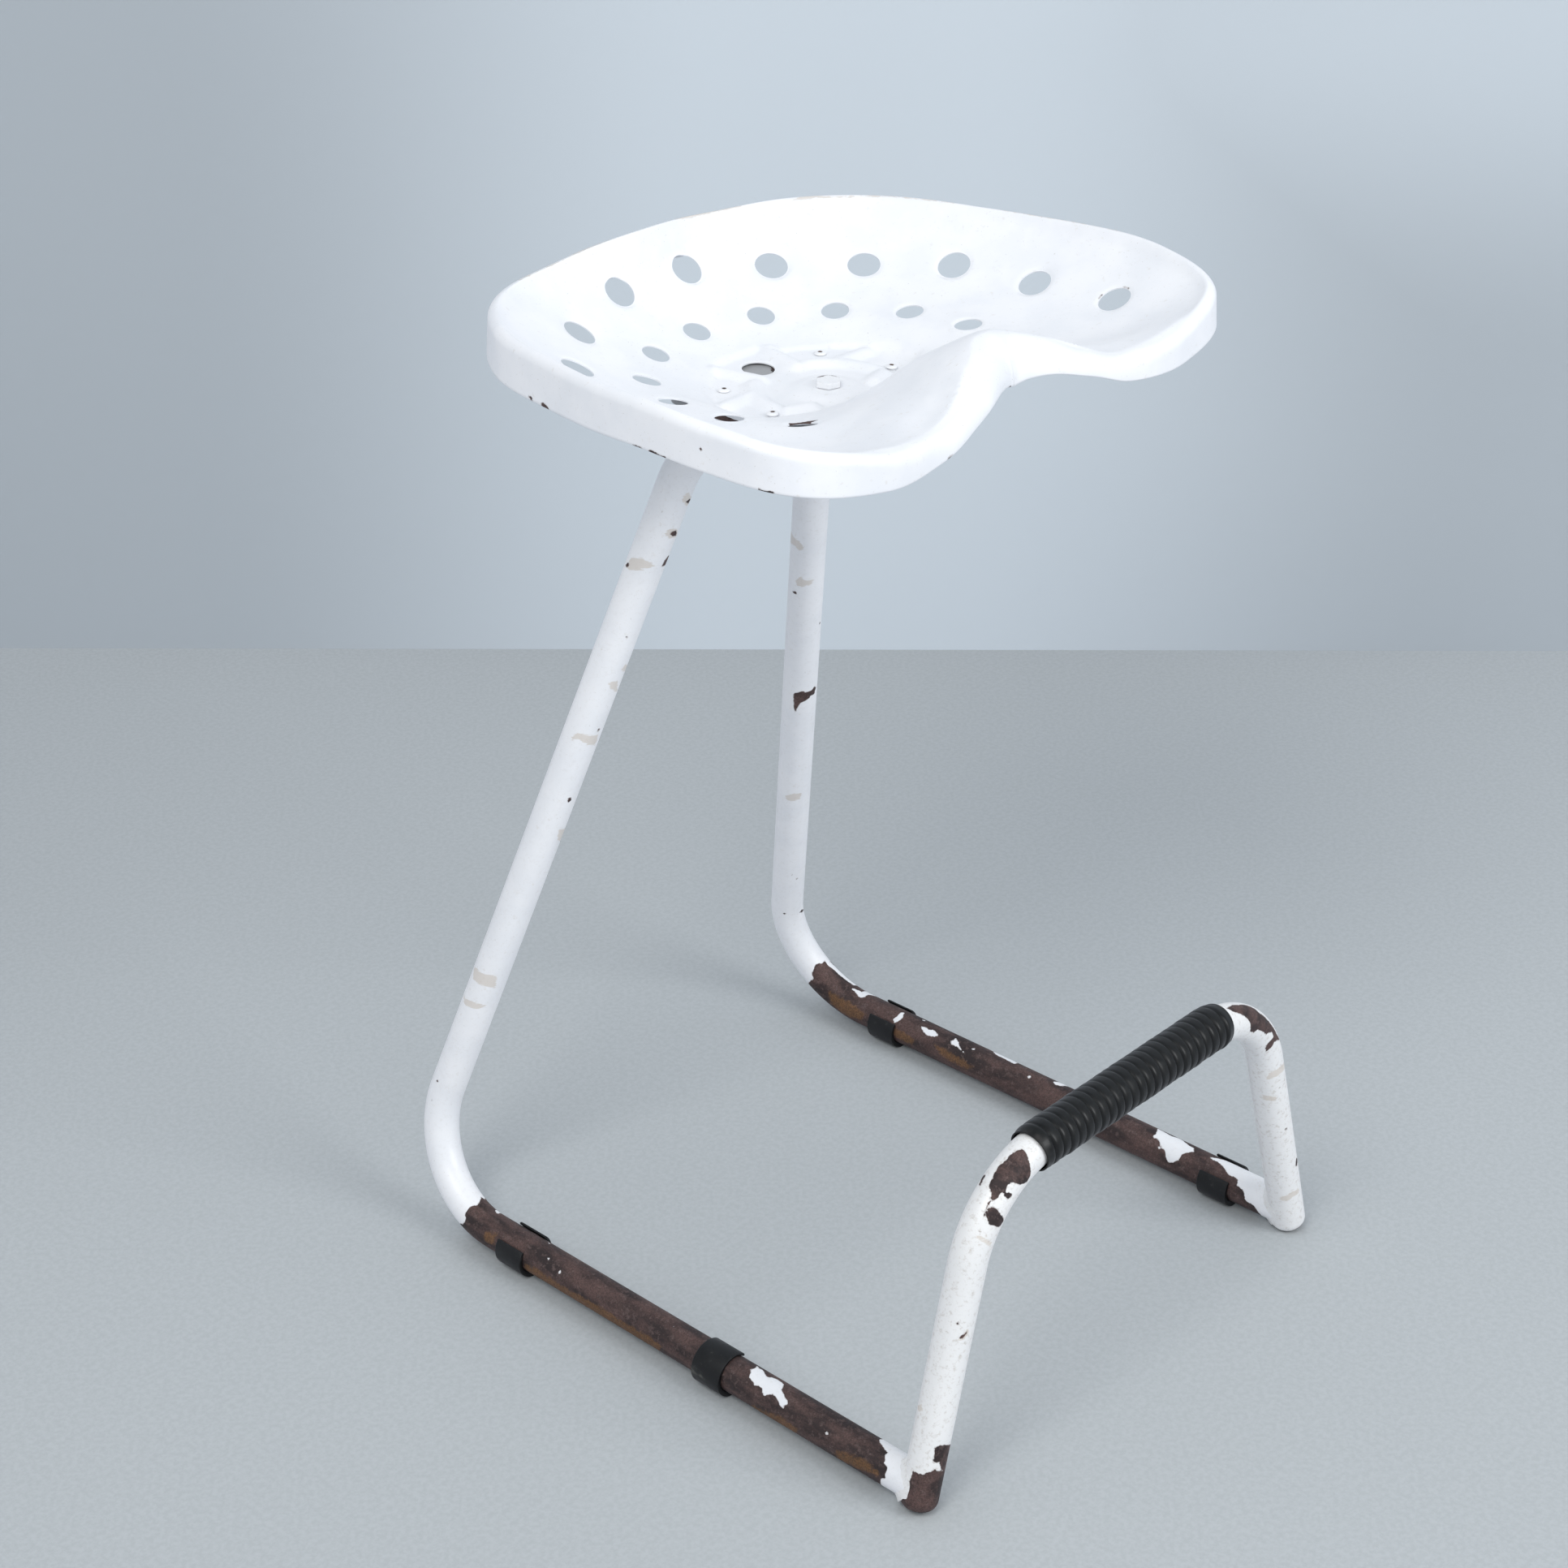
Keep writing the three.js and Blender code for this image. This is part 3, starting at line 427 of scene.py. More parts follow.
# Sizes that several pieces share, in millimetres, the same as the CAD's
tube = {"radius": 12.5, "wall": 1.8, "sides": 80, "step": 1.5, "turn": 2 * math.pi * 12.5, "settle": 40.0}
stand = {"front": -231.6, "runnerHeight": 16.5, "runnerFrontHalf": 201.4, "runnerRearHalf": 198.5,
         "runnerLength": 484.0, "rearBend": 68.0, "armHalf": 56.3, "armBend": 60.0, "armCornerBack": 58.6,
         "armFrontReach": 34.0}
seat = {"middle": 33.4, "floor": 623.5, "depth": 70.0, "halfWidth": 219.5, "sheet": 2.0, "rimRoll": 6.3,
        "flangeDepth": 22.5, "flangeFlare": 15.3}
plate = {"top": 621.2, "thick": 4.0, "halfWidth": 72.0, "front": -26.0, "back": 74.0, "corner": 10.0, "bevel": 0.5,
         "spacing": 4.0}
stand["armHeight"] = plate["top"] - plate["thick"] - 0.3 - tube["radius"]


# Footrest loop: half of the corners' distance, height of its bar, lean of its legs, and how its leg ends are made
footrest = {"height": 218.0, "half": 144.1, "lean": 3.9, "bend": 76.0, "endRound": 8.0, "endWall": 3.0, "vent": 2.5}


# The three places that runner and front leg share on one side: their meeting, the runner's rear end, the leg's top
def sidePlaces(side):
    mirror = np.array([side, 1, 1])
    return [np.array(place) * mirror for place in (
        [stand["runnerFrontHalf"], stand["front"], stand["runnerHeight"]],
        [stand["runnerRearHalf"], stand["front"] + stand["runnerLength"], stand["runnerHeight"]],
        [footrest["half"], stand["front"] + footrest["lean"], footrest["height"]])]


# How far a line from each rim point, in the runner's way w, runs to meet the leg's cylinder of axis x and radius r:
# with q the rim point and v the way, both less their parts along x, it solves |q + t v| = r
def reachLeg(rim, way, legAxis):
    across = rim - dot(rim, legAxis) * legAxis
    flatWay = way - np.dot(way, legAxis) * legAxis
    a, b = np.dot(flatWay, flatWay), dot(across, flatWay)[:, 0]
    c = dot(across, across)[:, 0] - tube["radius"] ** 2
    return (-b + np.sqrt(np.maximum(b * b - a * c, 0))) / a


# Seat pan. Turn is the angle round the middle from the back, 180 at the pommel.
panShape = {
    "bowTurns": (136, 158), "flareTurn": 4.0, "slopeReach": 0.9, "rimColumns": 480,
    "dip": 0.6, "thinner": 0.6, "dipWidth": 1.4, "flatWithin": 4.5,
    "bowlReaches": [0, 0.15, 0.35, 0.5, 0.65, 0.8, 0.9, 0.95, 0.98, 1],
}
# Curves of the pan over the turn, each a row of turns and a row of shares or, for roll, millimetres
panCurves = {
    "rim": ([0, 20, 40, 60, 80, 100, 115, 128, 139, 148, 156, 163, 169, 175, 180],
            [0.744, 0.813, 0.92, 0.941, 0.923, 0.976, 1.064, 1.108, 0.988, 0.865, 0.79, 0.704, 0.628, 0.584, 0.576]),
    "crest": ([0, 30, 60, 90, 110, 128, 142, 152, 160, 167, 174, 180],
              [0.987, 0.893, 0.904, 0.933, 0.951, 0.824, 0.6, 0.586, 0.729, 0.889, 0.963, 1]),
    "drop": ([0, 60, 110, 130, 140, 150, 157, 163, 170, 180],
             [1, 1.02, 0.93, 0.86, 0.66, 0.43, 0.31, 0.37, 0.68, 1.0]),
    "flare": ([0, 60, 110, 130, 140, 150, 157, 163, 170, 180],
              [0.15, 0.07, 0.03, 0.1, 0.12, 0.19, 0.31, 0.66, 0.98, 1.06]),
    "roll": ([0, 125, 145, 157, 163, 170, 180], [0, 0, 2.0, 4.2, 6.6, 10.5, 13.0]),
}
# Bowl heights as shares of the seat's depth: a row for each of the turns, a column for each of the inner bowlReaches
bowlTurns = [0, 15, 30, 45, 90, 120, 135, 150, 165, 180]
bowlRows = np.array([
    [0, 0, 0.04, 0.126, 0.274, 0.44, 0.56, 0.63], [0, 0, 0.055, 0.167, 0.345, 0.514, 0.625, 0.69],
    [0, 0.01, 0.09, 0.226, 0.4, 0.593, 0.704, 0.77], [0, 0.02, 0.13, 0.27, 0.48, 0.673, 0.78, 0.84],
    [0, 0.06, 0.24, 0.31, 0.42, 0.6, 0.73, 0.83], [0.02, 0.18, 0.32, 0.35, 0.49, 0.66, 0.755, 0.82],
    [0.04, 0.24, 0.38, 0.41, 0.48, 0.58, 0.64, 0.68], [0.03, 0.26, 0.44, 0.55, 0.58, 0.57, 0.575, 0.58],
    [0.02, 0.25, 0.46, 0.68, 0.81, 0.85, 0.86, 0.862], [0.01, 0.24, 0.456, 0.65, 0.825, 0.935, 0.98, 0.995]])
# Net of the pan: spacing of its grid, rings round a hole (how far out, points), rings at the rim (share of its
# radius, every how many columns), and how near the grid comes to holes and rim
panNet = {
    "coarse": 3.6, "fine": 2.3, "fineWithin": 118.0, "span": 260, "farthest": 400,
    "holeRings": ((0, 44), (0.5, 44), (1.1, 44), (2.0, 40), (3.4, 36)),
    "rimRings": ((0.993, 1), (0.984, 1), (0.973, 1), (0.96, 2), (0.945, 2), (0.927, 2), (0.905, 2)),
    "ringFromHole": 0.9, "gridFromHole": 4.3, "gridReach": 0.89, "freeReach": 0.9965, "farFromHoles": 50.0,
}
# Rows across the rim: degrees round the roll, shares down the flange, degrees round the lip, shares back up the
# inside, degrees of the inner roll, and the bow's degrees for the inside rows
rimRowShape = {"roll": range(80, -1, -10), "flange": (0.16, 0.36, 0.58, 0.78, 0.92), "lip": (18, 55, 90, 125, 162),
               "inside": (0.12, 0.4, 0.7), "innerRoll": range(0, 90, 15), "bowStart": 80, "bowRows": 13.6,
               "innerBow": (4, 9, 15, 22, 30, 40, 50, 62, 75)}
panHoles = {
    "inner": {"radius": 9.3, "circle": 114.5, "turns": [0, 25.5, 50.5, 76, 100.4, 124]},
    "outer": {"radius": 11.1, "turns": [11.5, 34.3, 56.8, 77.9, 98.3, 117.4],
              "reaches": [0.92, 0.807, 0.773, 0.835, 0.83, 0.833]},
    "big": {"radius": 10.7, "back": 60.2},
}
# Pressed pattern in the middle, one half of it, in millimetres from the bolt: a sunk field, a low boss, and ribs
pressing = {
    "field": [(-40.0, 84.0), (20.0, 80.0), (27.0, 69.0), (44.0, 60.0), (60.0, 47.0), (71.0, 32.0), (77.0, 20.0),
              (80.0, 8.0), (79.0, -8.0), (66.0, -15.0), (40.0, -20.0), (-40.0, -30.0)],
    "sink": 3.0, "wall": 3.6, "boss": (15.0, 29.0), "bossRise": 3.2, "rise": 3.8, "ribHalf": 9.5,
    "ring": 47.0, "ringTurns": (14.0, 34.0, 84.0, 106.0),
    "ribs": [(17.0, 42.0, 0.0, 23.5, 72.0, 0.0, 0.0), (40.0, 28.0, 0.0, 66.0, 27.0, 0.0, 0.0),
             (30.0, -12.0, 0.0, 44.0, -7.0, 0.0, 0.0)],
}


# One of the pan's curves at each turn
def panCurve(name, turn):
    return smooth(*panCurves[name], turn)


# Radius of the rim in plan: half the seat's width times the rim's curve
def rimRadius(turn):
    return seat["halfWidth"] * panCurve("rim", turn)


# Height of the rim's crest: the floor of the bowl plus the seat's depth times the crest's curve
def crestHeight(turn):
    return seat["floor"] + seat["depth"] * panCurve("crest", turn)


# Bowl height over the plan: a smooth curve outward through the table's row for that turn, then the crest
def bowlHeight(x, y):
    turn = np.degrees(np.abs(np.arctan2(x, y)))
    radius = np.hypot(x, y)
    reach = np.minimum(1, radius / rimRadius(turn))
    heights = [np.zeros_like(turn)]
    heights += [seat["depth"] * smooth(bowlTurns, column, turn) for column in bowlRows.T]
    heights.append(seat["depth"] * panCurve("crest", turn))
    return seat["floor"] + smooth(panShape["bowlReaches"], np.stack(heights), reach)


# The pressed pattern laid over the bowl: bowl - sink in the field, never below the floor, plus the highest of boss,
# ring and ribs, each rib a bump (1 - t^2)^2 of its distance t from the rib's line
def pressedHeight(x, y):
    side, radius = np.abs(x), np.hypot(x, y)
    turn = np.degrees(np.arctan2(side, y))
    field = 1 - ease(-pressing["wall"], pressing["wall"], polygonDistance(side, y, pressing["field"]))
    low = np.maximum(bowlHeight(x, y) - pressing["sink"] * field, seat["floor"])
    boss = pressing["bossRise"] * (1 - ease(*pressing["boss"], radius))
    startLow, startHigh, endLow, endHigh = pressing["ringTurns"]
    onRing = ease(startLow, startHigh, turn) * (1 - ease(endLow, endHigh, turn))
    half = pressing["ribHalf"]
    ring = onRing * (1 - np.minimum(((radius - pressing["ring"]) / half) ** 2, 1)) ** 2
    away = strokeDistance(np.stack([side, y, 0 * y], axis=-1), pressing["ribs"])
    ribs = (1 - np.minimum((away / half) ** 2, 1)) ** 2
    return low + np.maximum(boss, pressing["rise"] * np.maximum(ring, ribs))


# Upward normal of a height field z: (-dz/dx, -dz/dy, 1) over its length, with slopes over a short reach to each side
def panSlopeNormal(height, x, y):
    nudge = panShape["slopeReach"]
    growX = height(x + nudge, y) - height(x - nudge, y)
    growY = height(x, y + nudge) - height(x, y - nudge)
    return unit(np.stack([-growX, -growY, np.full_like(growX, 2 * nudge)], axis=-1))


# Every hole of the pan: its middle in plan, its radius, and two directions along the sheet there
def panHolePlaces():
    inner, outer, big = panHoles["inner"], panHoles["outer"], panHoles["big"]
    holes = [(0.0, big["back"], big["radius"], 1)]
    for side in (1, -1):
        holes += [(turn, inner["circle"], inner["radius"], side) for turn in inner["turns"] if turn > 0 or side > 0]
        holes += [(turn, float(rimRadius(np.array([turn]))[0]) * reach, outer["radius"], side)
                  for turn, reach in zip(outer["turns"], outer["reaches"])]
    places = []
    for turn, radius, size, side in holes:
        x, y = side * radius * math.sin(math.radians(turn)), radius * math.cos(math.radians(turn))
        normal = panSlopeNormal(bowlHeight, np.array([x]), np.array([y]))[0]
        across = unit(np.cross([0.0, 1.0, 0.0], normal))
        places.append((np.array([x, y]), size, np.array([across, np.cross(normal, across)])))
    return places


# Offset of points of the plan from a hole's middle, measured along the sheet's own two directions
def sheetOffset(points, hole):
    middle, _, ways = hole
    return (points - middle) @ np.linalg.inv(ways[:, :2].T).T


# Distance in the sheet to the edge of the nearest hole
def holeDistance(points, holes):
    nearest = np.full(len(points), panNet["farFromHoles"])
    for hole in holes:
        nearest = np.minimum(nearest, np.linalg.norm(sheetOffset(points, hole), axis=1) - hole[1])
    return nearest


# Distance from the middle as a share of the rim's radius at that turn
def planReach(points):
    return np.hypot(*points.T) / rimRadius(np.degrees(np.abs(np.arctan2(*points.T))))


# Triangles over points of a plan that keep its edges, or with kind 1 only those inside the given outline. It gives
# the spots, the triangles and, for each spot, the numbers of the points that it came from.
def triangulate(plan, edges, outlines, kind, tiny):
    plan, edges = [tuple(p) for p in plan.tolist()], [tuple(e) for e in edges.tolist()]
    made = delaunay_2d_cdt(plan, edges, outlines, kind, tiny)
    return np.array([tuple(p) for p in made[0]]), np.array(made[2]), made[3]


# Net of triangles over the plan: rings at rim and holes, and between them a triangular grid, its rows sqrt(3/4) of
# the spacing apart. It gives the spots, the triangles and the spots of each loop, the rim's first.
def makePanNet(rim, angle, holes):
    flat = np.stack([np.sin(angle), np.cos(angle)], axis=-1)
    plan, loops, free = [flat * rim[:, None]], [np.arange(len(rim))], []
    for middle, size, (across, along) in holes:
        start = sum(len(part) for part in plan)
        for grow, points in panNet["holeRings"]:
            swing = circleSteps(points)
            circle = (size + grow) * (np.cos(swing)[:, None] * across + np.sin(swing)[:, None] * along)
            if grow == 0:
                plan.append(middle + circle[:, :2])
                loops.append(start + np.arange(points))
            else:
                free.append(middle + circle[:, :2])
    rings = np.concatenate([(flat * (rim * share)[:, None])[::every] for share, every in panNet["rimRings"]])
    free.append(rings[holeDistance(rings, holes) > panNet["ringFromHole"]])
    for spacing, low, high in ((panNet["fine"], 0, panNet["fineWithin"]),
                               (panNet["coarse"], panNet["fineWithin"], panNet["farthest"])):
        steps = np.arange(-panNet["span"], panNet["span"], spacing)
        x, y = np.meshgrid(steps, steps * math.sqrt(0.75))
        x = x + (np.arange(len(steps)) % 2 * spacing / 2)[:, None]
        grid = np.stack([x.ravel(), y.ravel()], axis=-1)
        radius = np.hypot(*grid.T)
        keep = (radius >= low) & (radius < high) & (planReach(grid) < panNet["gridReach"])
        free.append(grid[keep & (holeDistance(grid, holes) > panNet["gridFromHole"])])
    free = np.concatenate(free)
    plan = np.concatenate(plan + [free[planReach(free) < panNet["freeReach"]]])
    edges = np.concatenate([np.stack([loop, np.roll(loop, -1)], axis=-1) for loop in loops])
    spots, triangles, sources = triangulate(plan, edges, [], 0, 1e-5)
    origin = np.full(len(plan), -1)
    for new, olds in enumerate(sources):
        for old in olds:
            origin[old] = new
    loops = [origin[loop] for loop in loops]
    centre = spots[triangles].mean(axis=1)
    reach = planReach(centre)
    outside = (reach > 1) | (np.isin(triangles, loops[0]).all(axis=1) & (reach > 0.9995))
    first, second = spots[triangles[:, 1]] - spots[triangles[:, 0]], spots[triangles[:, 2]] - spots[triangles[:, 0]]
    thin = np.abs(first[:, 0] * second[:, 1] - first[:, 1] * second[:, 0]) < 1e-7
    return spots, triangles[~(outside | thin | (holeDistance(centre, holes) < -0.02))], loops


# Rows of the rolled rim and flange: from the crest round the roll, down the flange, round its lip and back inside. At
# the front notch the roll and flange become one bow, a quarter ellipse from the crest to the lip.
def makeRimRows(turns, folded, rim, crest):
    angle, nudge, sheet = np.radians(turns), panShape["flareTurn"], seat["sheet"]
    grow = (rimRadius(np.abs(folded + nudge)) - rimRadius(np.abs(folded - nudge))) / math.radians(2 * nudge)
    grow = np.where(turns > 180, -grow, grow)
    outward = unit(np.stack([rim * np.sin(angle) - grow * np.cos(angle), rim * np.cos(angle) + grow * np.sin(angle),
                             0 * rim], axis=-1))
    rollGrow = panCurve("roll", folded)[:, None]
    roll = seat["rimRoll"] + rollGrow
    bowed = ease(*panShape["bowTurns"], folded)[:, None]
    core = np.stack([rim * np.sin(angle), rim * np.cos(angle), crest - roll[:, 0]], axis=-1)
    up = np.array([0.0, 0.0, 1.0])
    drop = (seat["flangeDepth"] * panCurve("drop", folded))[:, None]
    flare = (seat["flangeFlare"] * panCurve("flare", folded))[:, None]
    drop, flare = drop - rollGrow, np.maximum(flare - rollGrow, 0)
    lip = core + outward * (roll + flare) - up * drop
    foot = np.column_stack([core[:, :2], lip[:, 2]])

    # A point at an angle above level: round the roll, or on the bow some way in from its face
    def onRoll(radius, degrees):
        t = math.radians(degrees)
        return core + radius * (outward * math.cos(t) + up * math.sin(t))

    def onBow(inset, degrees):
        t = math.radians(degrees)
        return (foot + outward * (roll + flare - inset) * math.cos(t)
                + up * ((crest - lip[:, 2])[:, None] - inset) * math.sin(t))

    start = onRoll(roll, 0)
    along = unit(unit(lip - start) * (1 - bowed) - up * bowed)
    inward = unit(-outward + along * dot(outward, along))
    shape = rimRowShape
    rolled = [onRoll(roll, degrees) for degrees in shape["roll"]]
    rolled += [start + (lip - start) * share for share in shape["flange"]]
    rows = [row * (1 - bowed) + onBow(0.0, shape["bowStart"] * (1 - k / shape["bowRows"])) * bowed
            for k, row in enumerate(rolled)]
    rows += [lip + inward * sheet * (0.5 - 0.5 * math.cos(t)) + along * sheet * (0.5 * math.sin(t) - 0.35)
             for t in np.radians(shape["lip"])]
    inner = start + inward * sheet
    rolled = [lip + inward * sheet + (inner - lip - inward * sheet) * share for share in shape["inside"]]
    rolled += [onRoll(roll - sheet, degrees) for degrees in shape["innerRoll"]]
    rows += [row * (1 - bowed) + onBow(sheet, degrees) * bowed for row, degrees in zip(rolled, shape["innerBow"])]
    return rows


# The sheet: the net lifted to the pressed height, and its underside one thickness below along the normals. At each
# hole the sheet lies flat, dips by d exp(-(distance/width)^2) and gets thinner as much.
def makeSeatPan():
    count = panShape["rimColumns"]
    turns = np.arange(count) * 360.0 / count
    folded = np.where(turns > 180, 360 - turns, turns)
    rim = rimRadius(folded)
    crest = crestHeight(folded)
    holes = panHolePlaces()
    spots, triangles, loops = makePanNet(rim, np.radians(turns), holes)
    rimLoop, below = loops[0], len(spots)
    x, y = spots.T
    edge = np.exp(-(np.maximum(holeDistance(spots, holes), 0) / panShape["dipWidth"]) ** 2)
    dip, thinner = panShape["dip"] * edge, panShape["thinner"] * edge
    height = pressedHeight(x, y)
    for hole in holes:
        middle, size, ways = hole
        local = sheetOffset(spots, hole)
        plane = float(pressedHeight(middle[:1], middle[1:])[0]) + local @ ways[:, 2]
        height += (1 - ease(0.4, panShape["flatWithin"], np.linalg.norm(local, axis=1) - size)) * (plane - height)
    height[rimLoop] = crest
    normal = panSlopeNormal(pressedHeight, x, y)
    normal[rimLoop] = (0, 0, 1)
    top = np.stack([x, y, height], axis=-1)
    under = top - normal * (seat["sheet"] - thinner)[:, None]
    top = top - normal * dip[:, None]
    faces = [triangles, triangles[:, ::-1] + below]
    for a in loops[1:]:
        b = np.roll(a, -1)
        faces.append(np.stack([a, b, b + below, a + below], axis=-1))
    rows = makeRimRows(turns, folded, rim, crest)
    rowIndex = 2 * below + np.arange(len(rows) * count).reshape(-1, count)
    chain = np.concatenate([rimLoop[None], rowIndex, rimLoop[None] + below])
    nextColumn = np.roll(chain, -1, axis=1)
    faces.append(np.stack([chain[:-1], nextColumn[:-1], nextColumn[1:], chain[1:]], axis=-1).reshape(-1, 4))
    return np.concatenate([top, under, *rows]) + [0, seat["middle"], 0], faces


panPoints, panFaces = makeSeatPan()
# Chips on the pan, (from x, y, z, to x, y, z, radius) in millimetres, and the warm line along the back rim
panWear = [
    (-201.6, 92.0, 661.2, -202.4, 88.5, 659.7, 0.9), (-204.6, 77.8, 660.4, -205.5, 72.0, 659.3, 1.6),
    (-218.2, -11.6, 662.4, -218.9, -18.8, 662.9, 0.9), (-219.4, -25.8, 663.0, -219.8, -31.4, 663.2, 1.2),
    (-219.8, -31.4, 663.2, -220.2, -39.4, 663.4, 0.6), (-209.8, -102.3, 658.8, -208.5, -104.7, 657.6, 0.8),
    (-207.5, -107.5, 657.6, -206.4, -109.6, 657.4, 0.9), (-86.7, -134.5, 648.9, -82.5, -134.4, 651.0, 1.7),
    (-82.5, -134.4, 651.4, -78.0, -134.2, 651.6, 0.9), (82.8, -134.4, 650.3, 86.9, -134.5, 649.2, 0.9),
    (-10.5, -114.5, 664.5, -5.0, -115.5, 664.5, 1.5), (-95.1, -21.7, 642.7, -82.2, -29.6, 643.6, 1.7),
    (-218.3, -63.9, 676.3, -218.0, -66.6, 673.5, 0.35), (-43.9, 200.4, 688.2, -42.5, 199.7, 685.9, 0.4),
    (173.5, -45.6, 658.9, 177.2, -45.6, 660.7, 0.6), (185.3, -56.2, 666.2, 184.5, -61.2, 666.4, 0.45),
    (51.9, 31.9, 625.0, 55.6, 24.8, 624.0, 0.5), (60.0, 205.0, 668.0, 66.0, 203.5, 667.0, 1.4),
    (150.0, 181.0, 668.5, 158.0, 172.0, 667.0, 1.1), (-120.0, 200.5, 668.0, -112.0, 202.0, 668.0, 1.3),
    (213.0, 60.0, 669.0, 214.0, 52.0, 668.0, 1.2),
]
rimLineWidth = 4.4
rimLine = [(-109.0, 198.5, 687.5), (-62.9, 203.0, 689.9), (15.0, 203.5, 692.5), (86.7, 200.3, 687.7),
           (143.3, 179.0, 686.7), (179.1, 138.2, 688.5), (199.9, 82.9, 689.7), (211.2, 18.6, 690.4),
           (217.5, -43.3, 692.0)]
panValues = paintValues(strokeDistance(panPoints, panWear),
                        strokeDistance(panPoints, [(*a, *b, rimLineWidth / 2) for a, b in zip(rimLine, rimLine[1:])]))
makePiece("seatPan", panPoints, panFaces, seatPaint, ["seat_pan"], panValues, 40)
print("seat pan made", len(panPoints), "points")


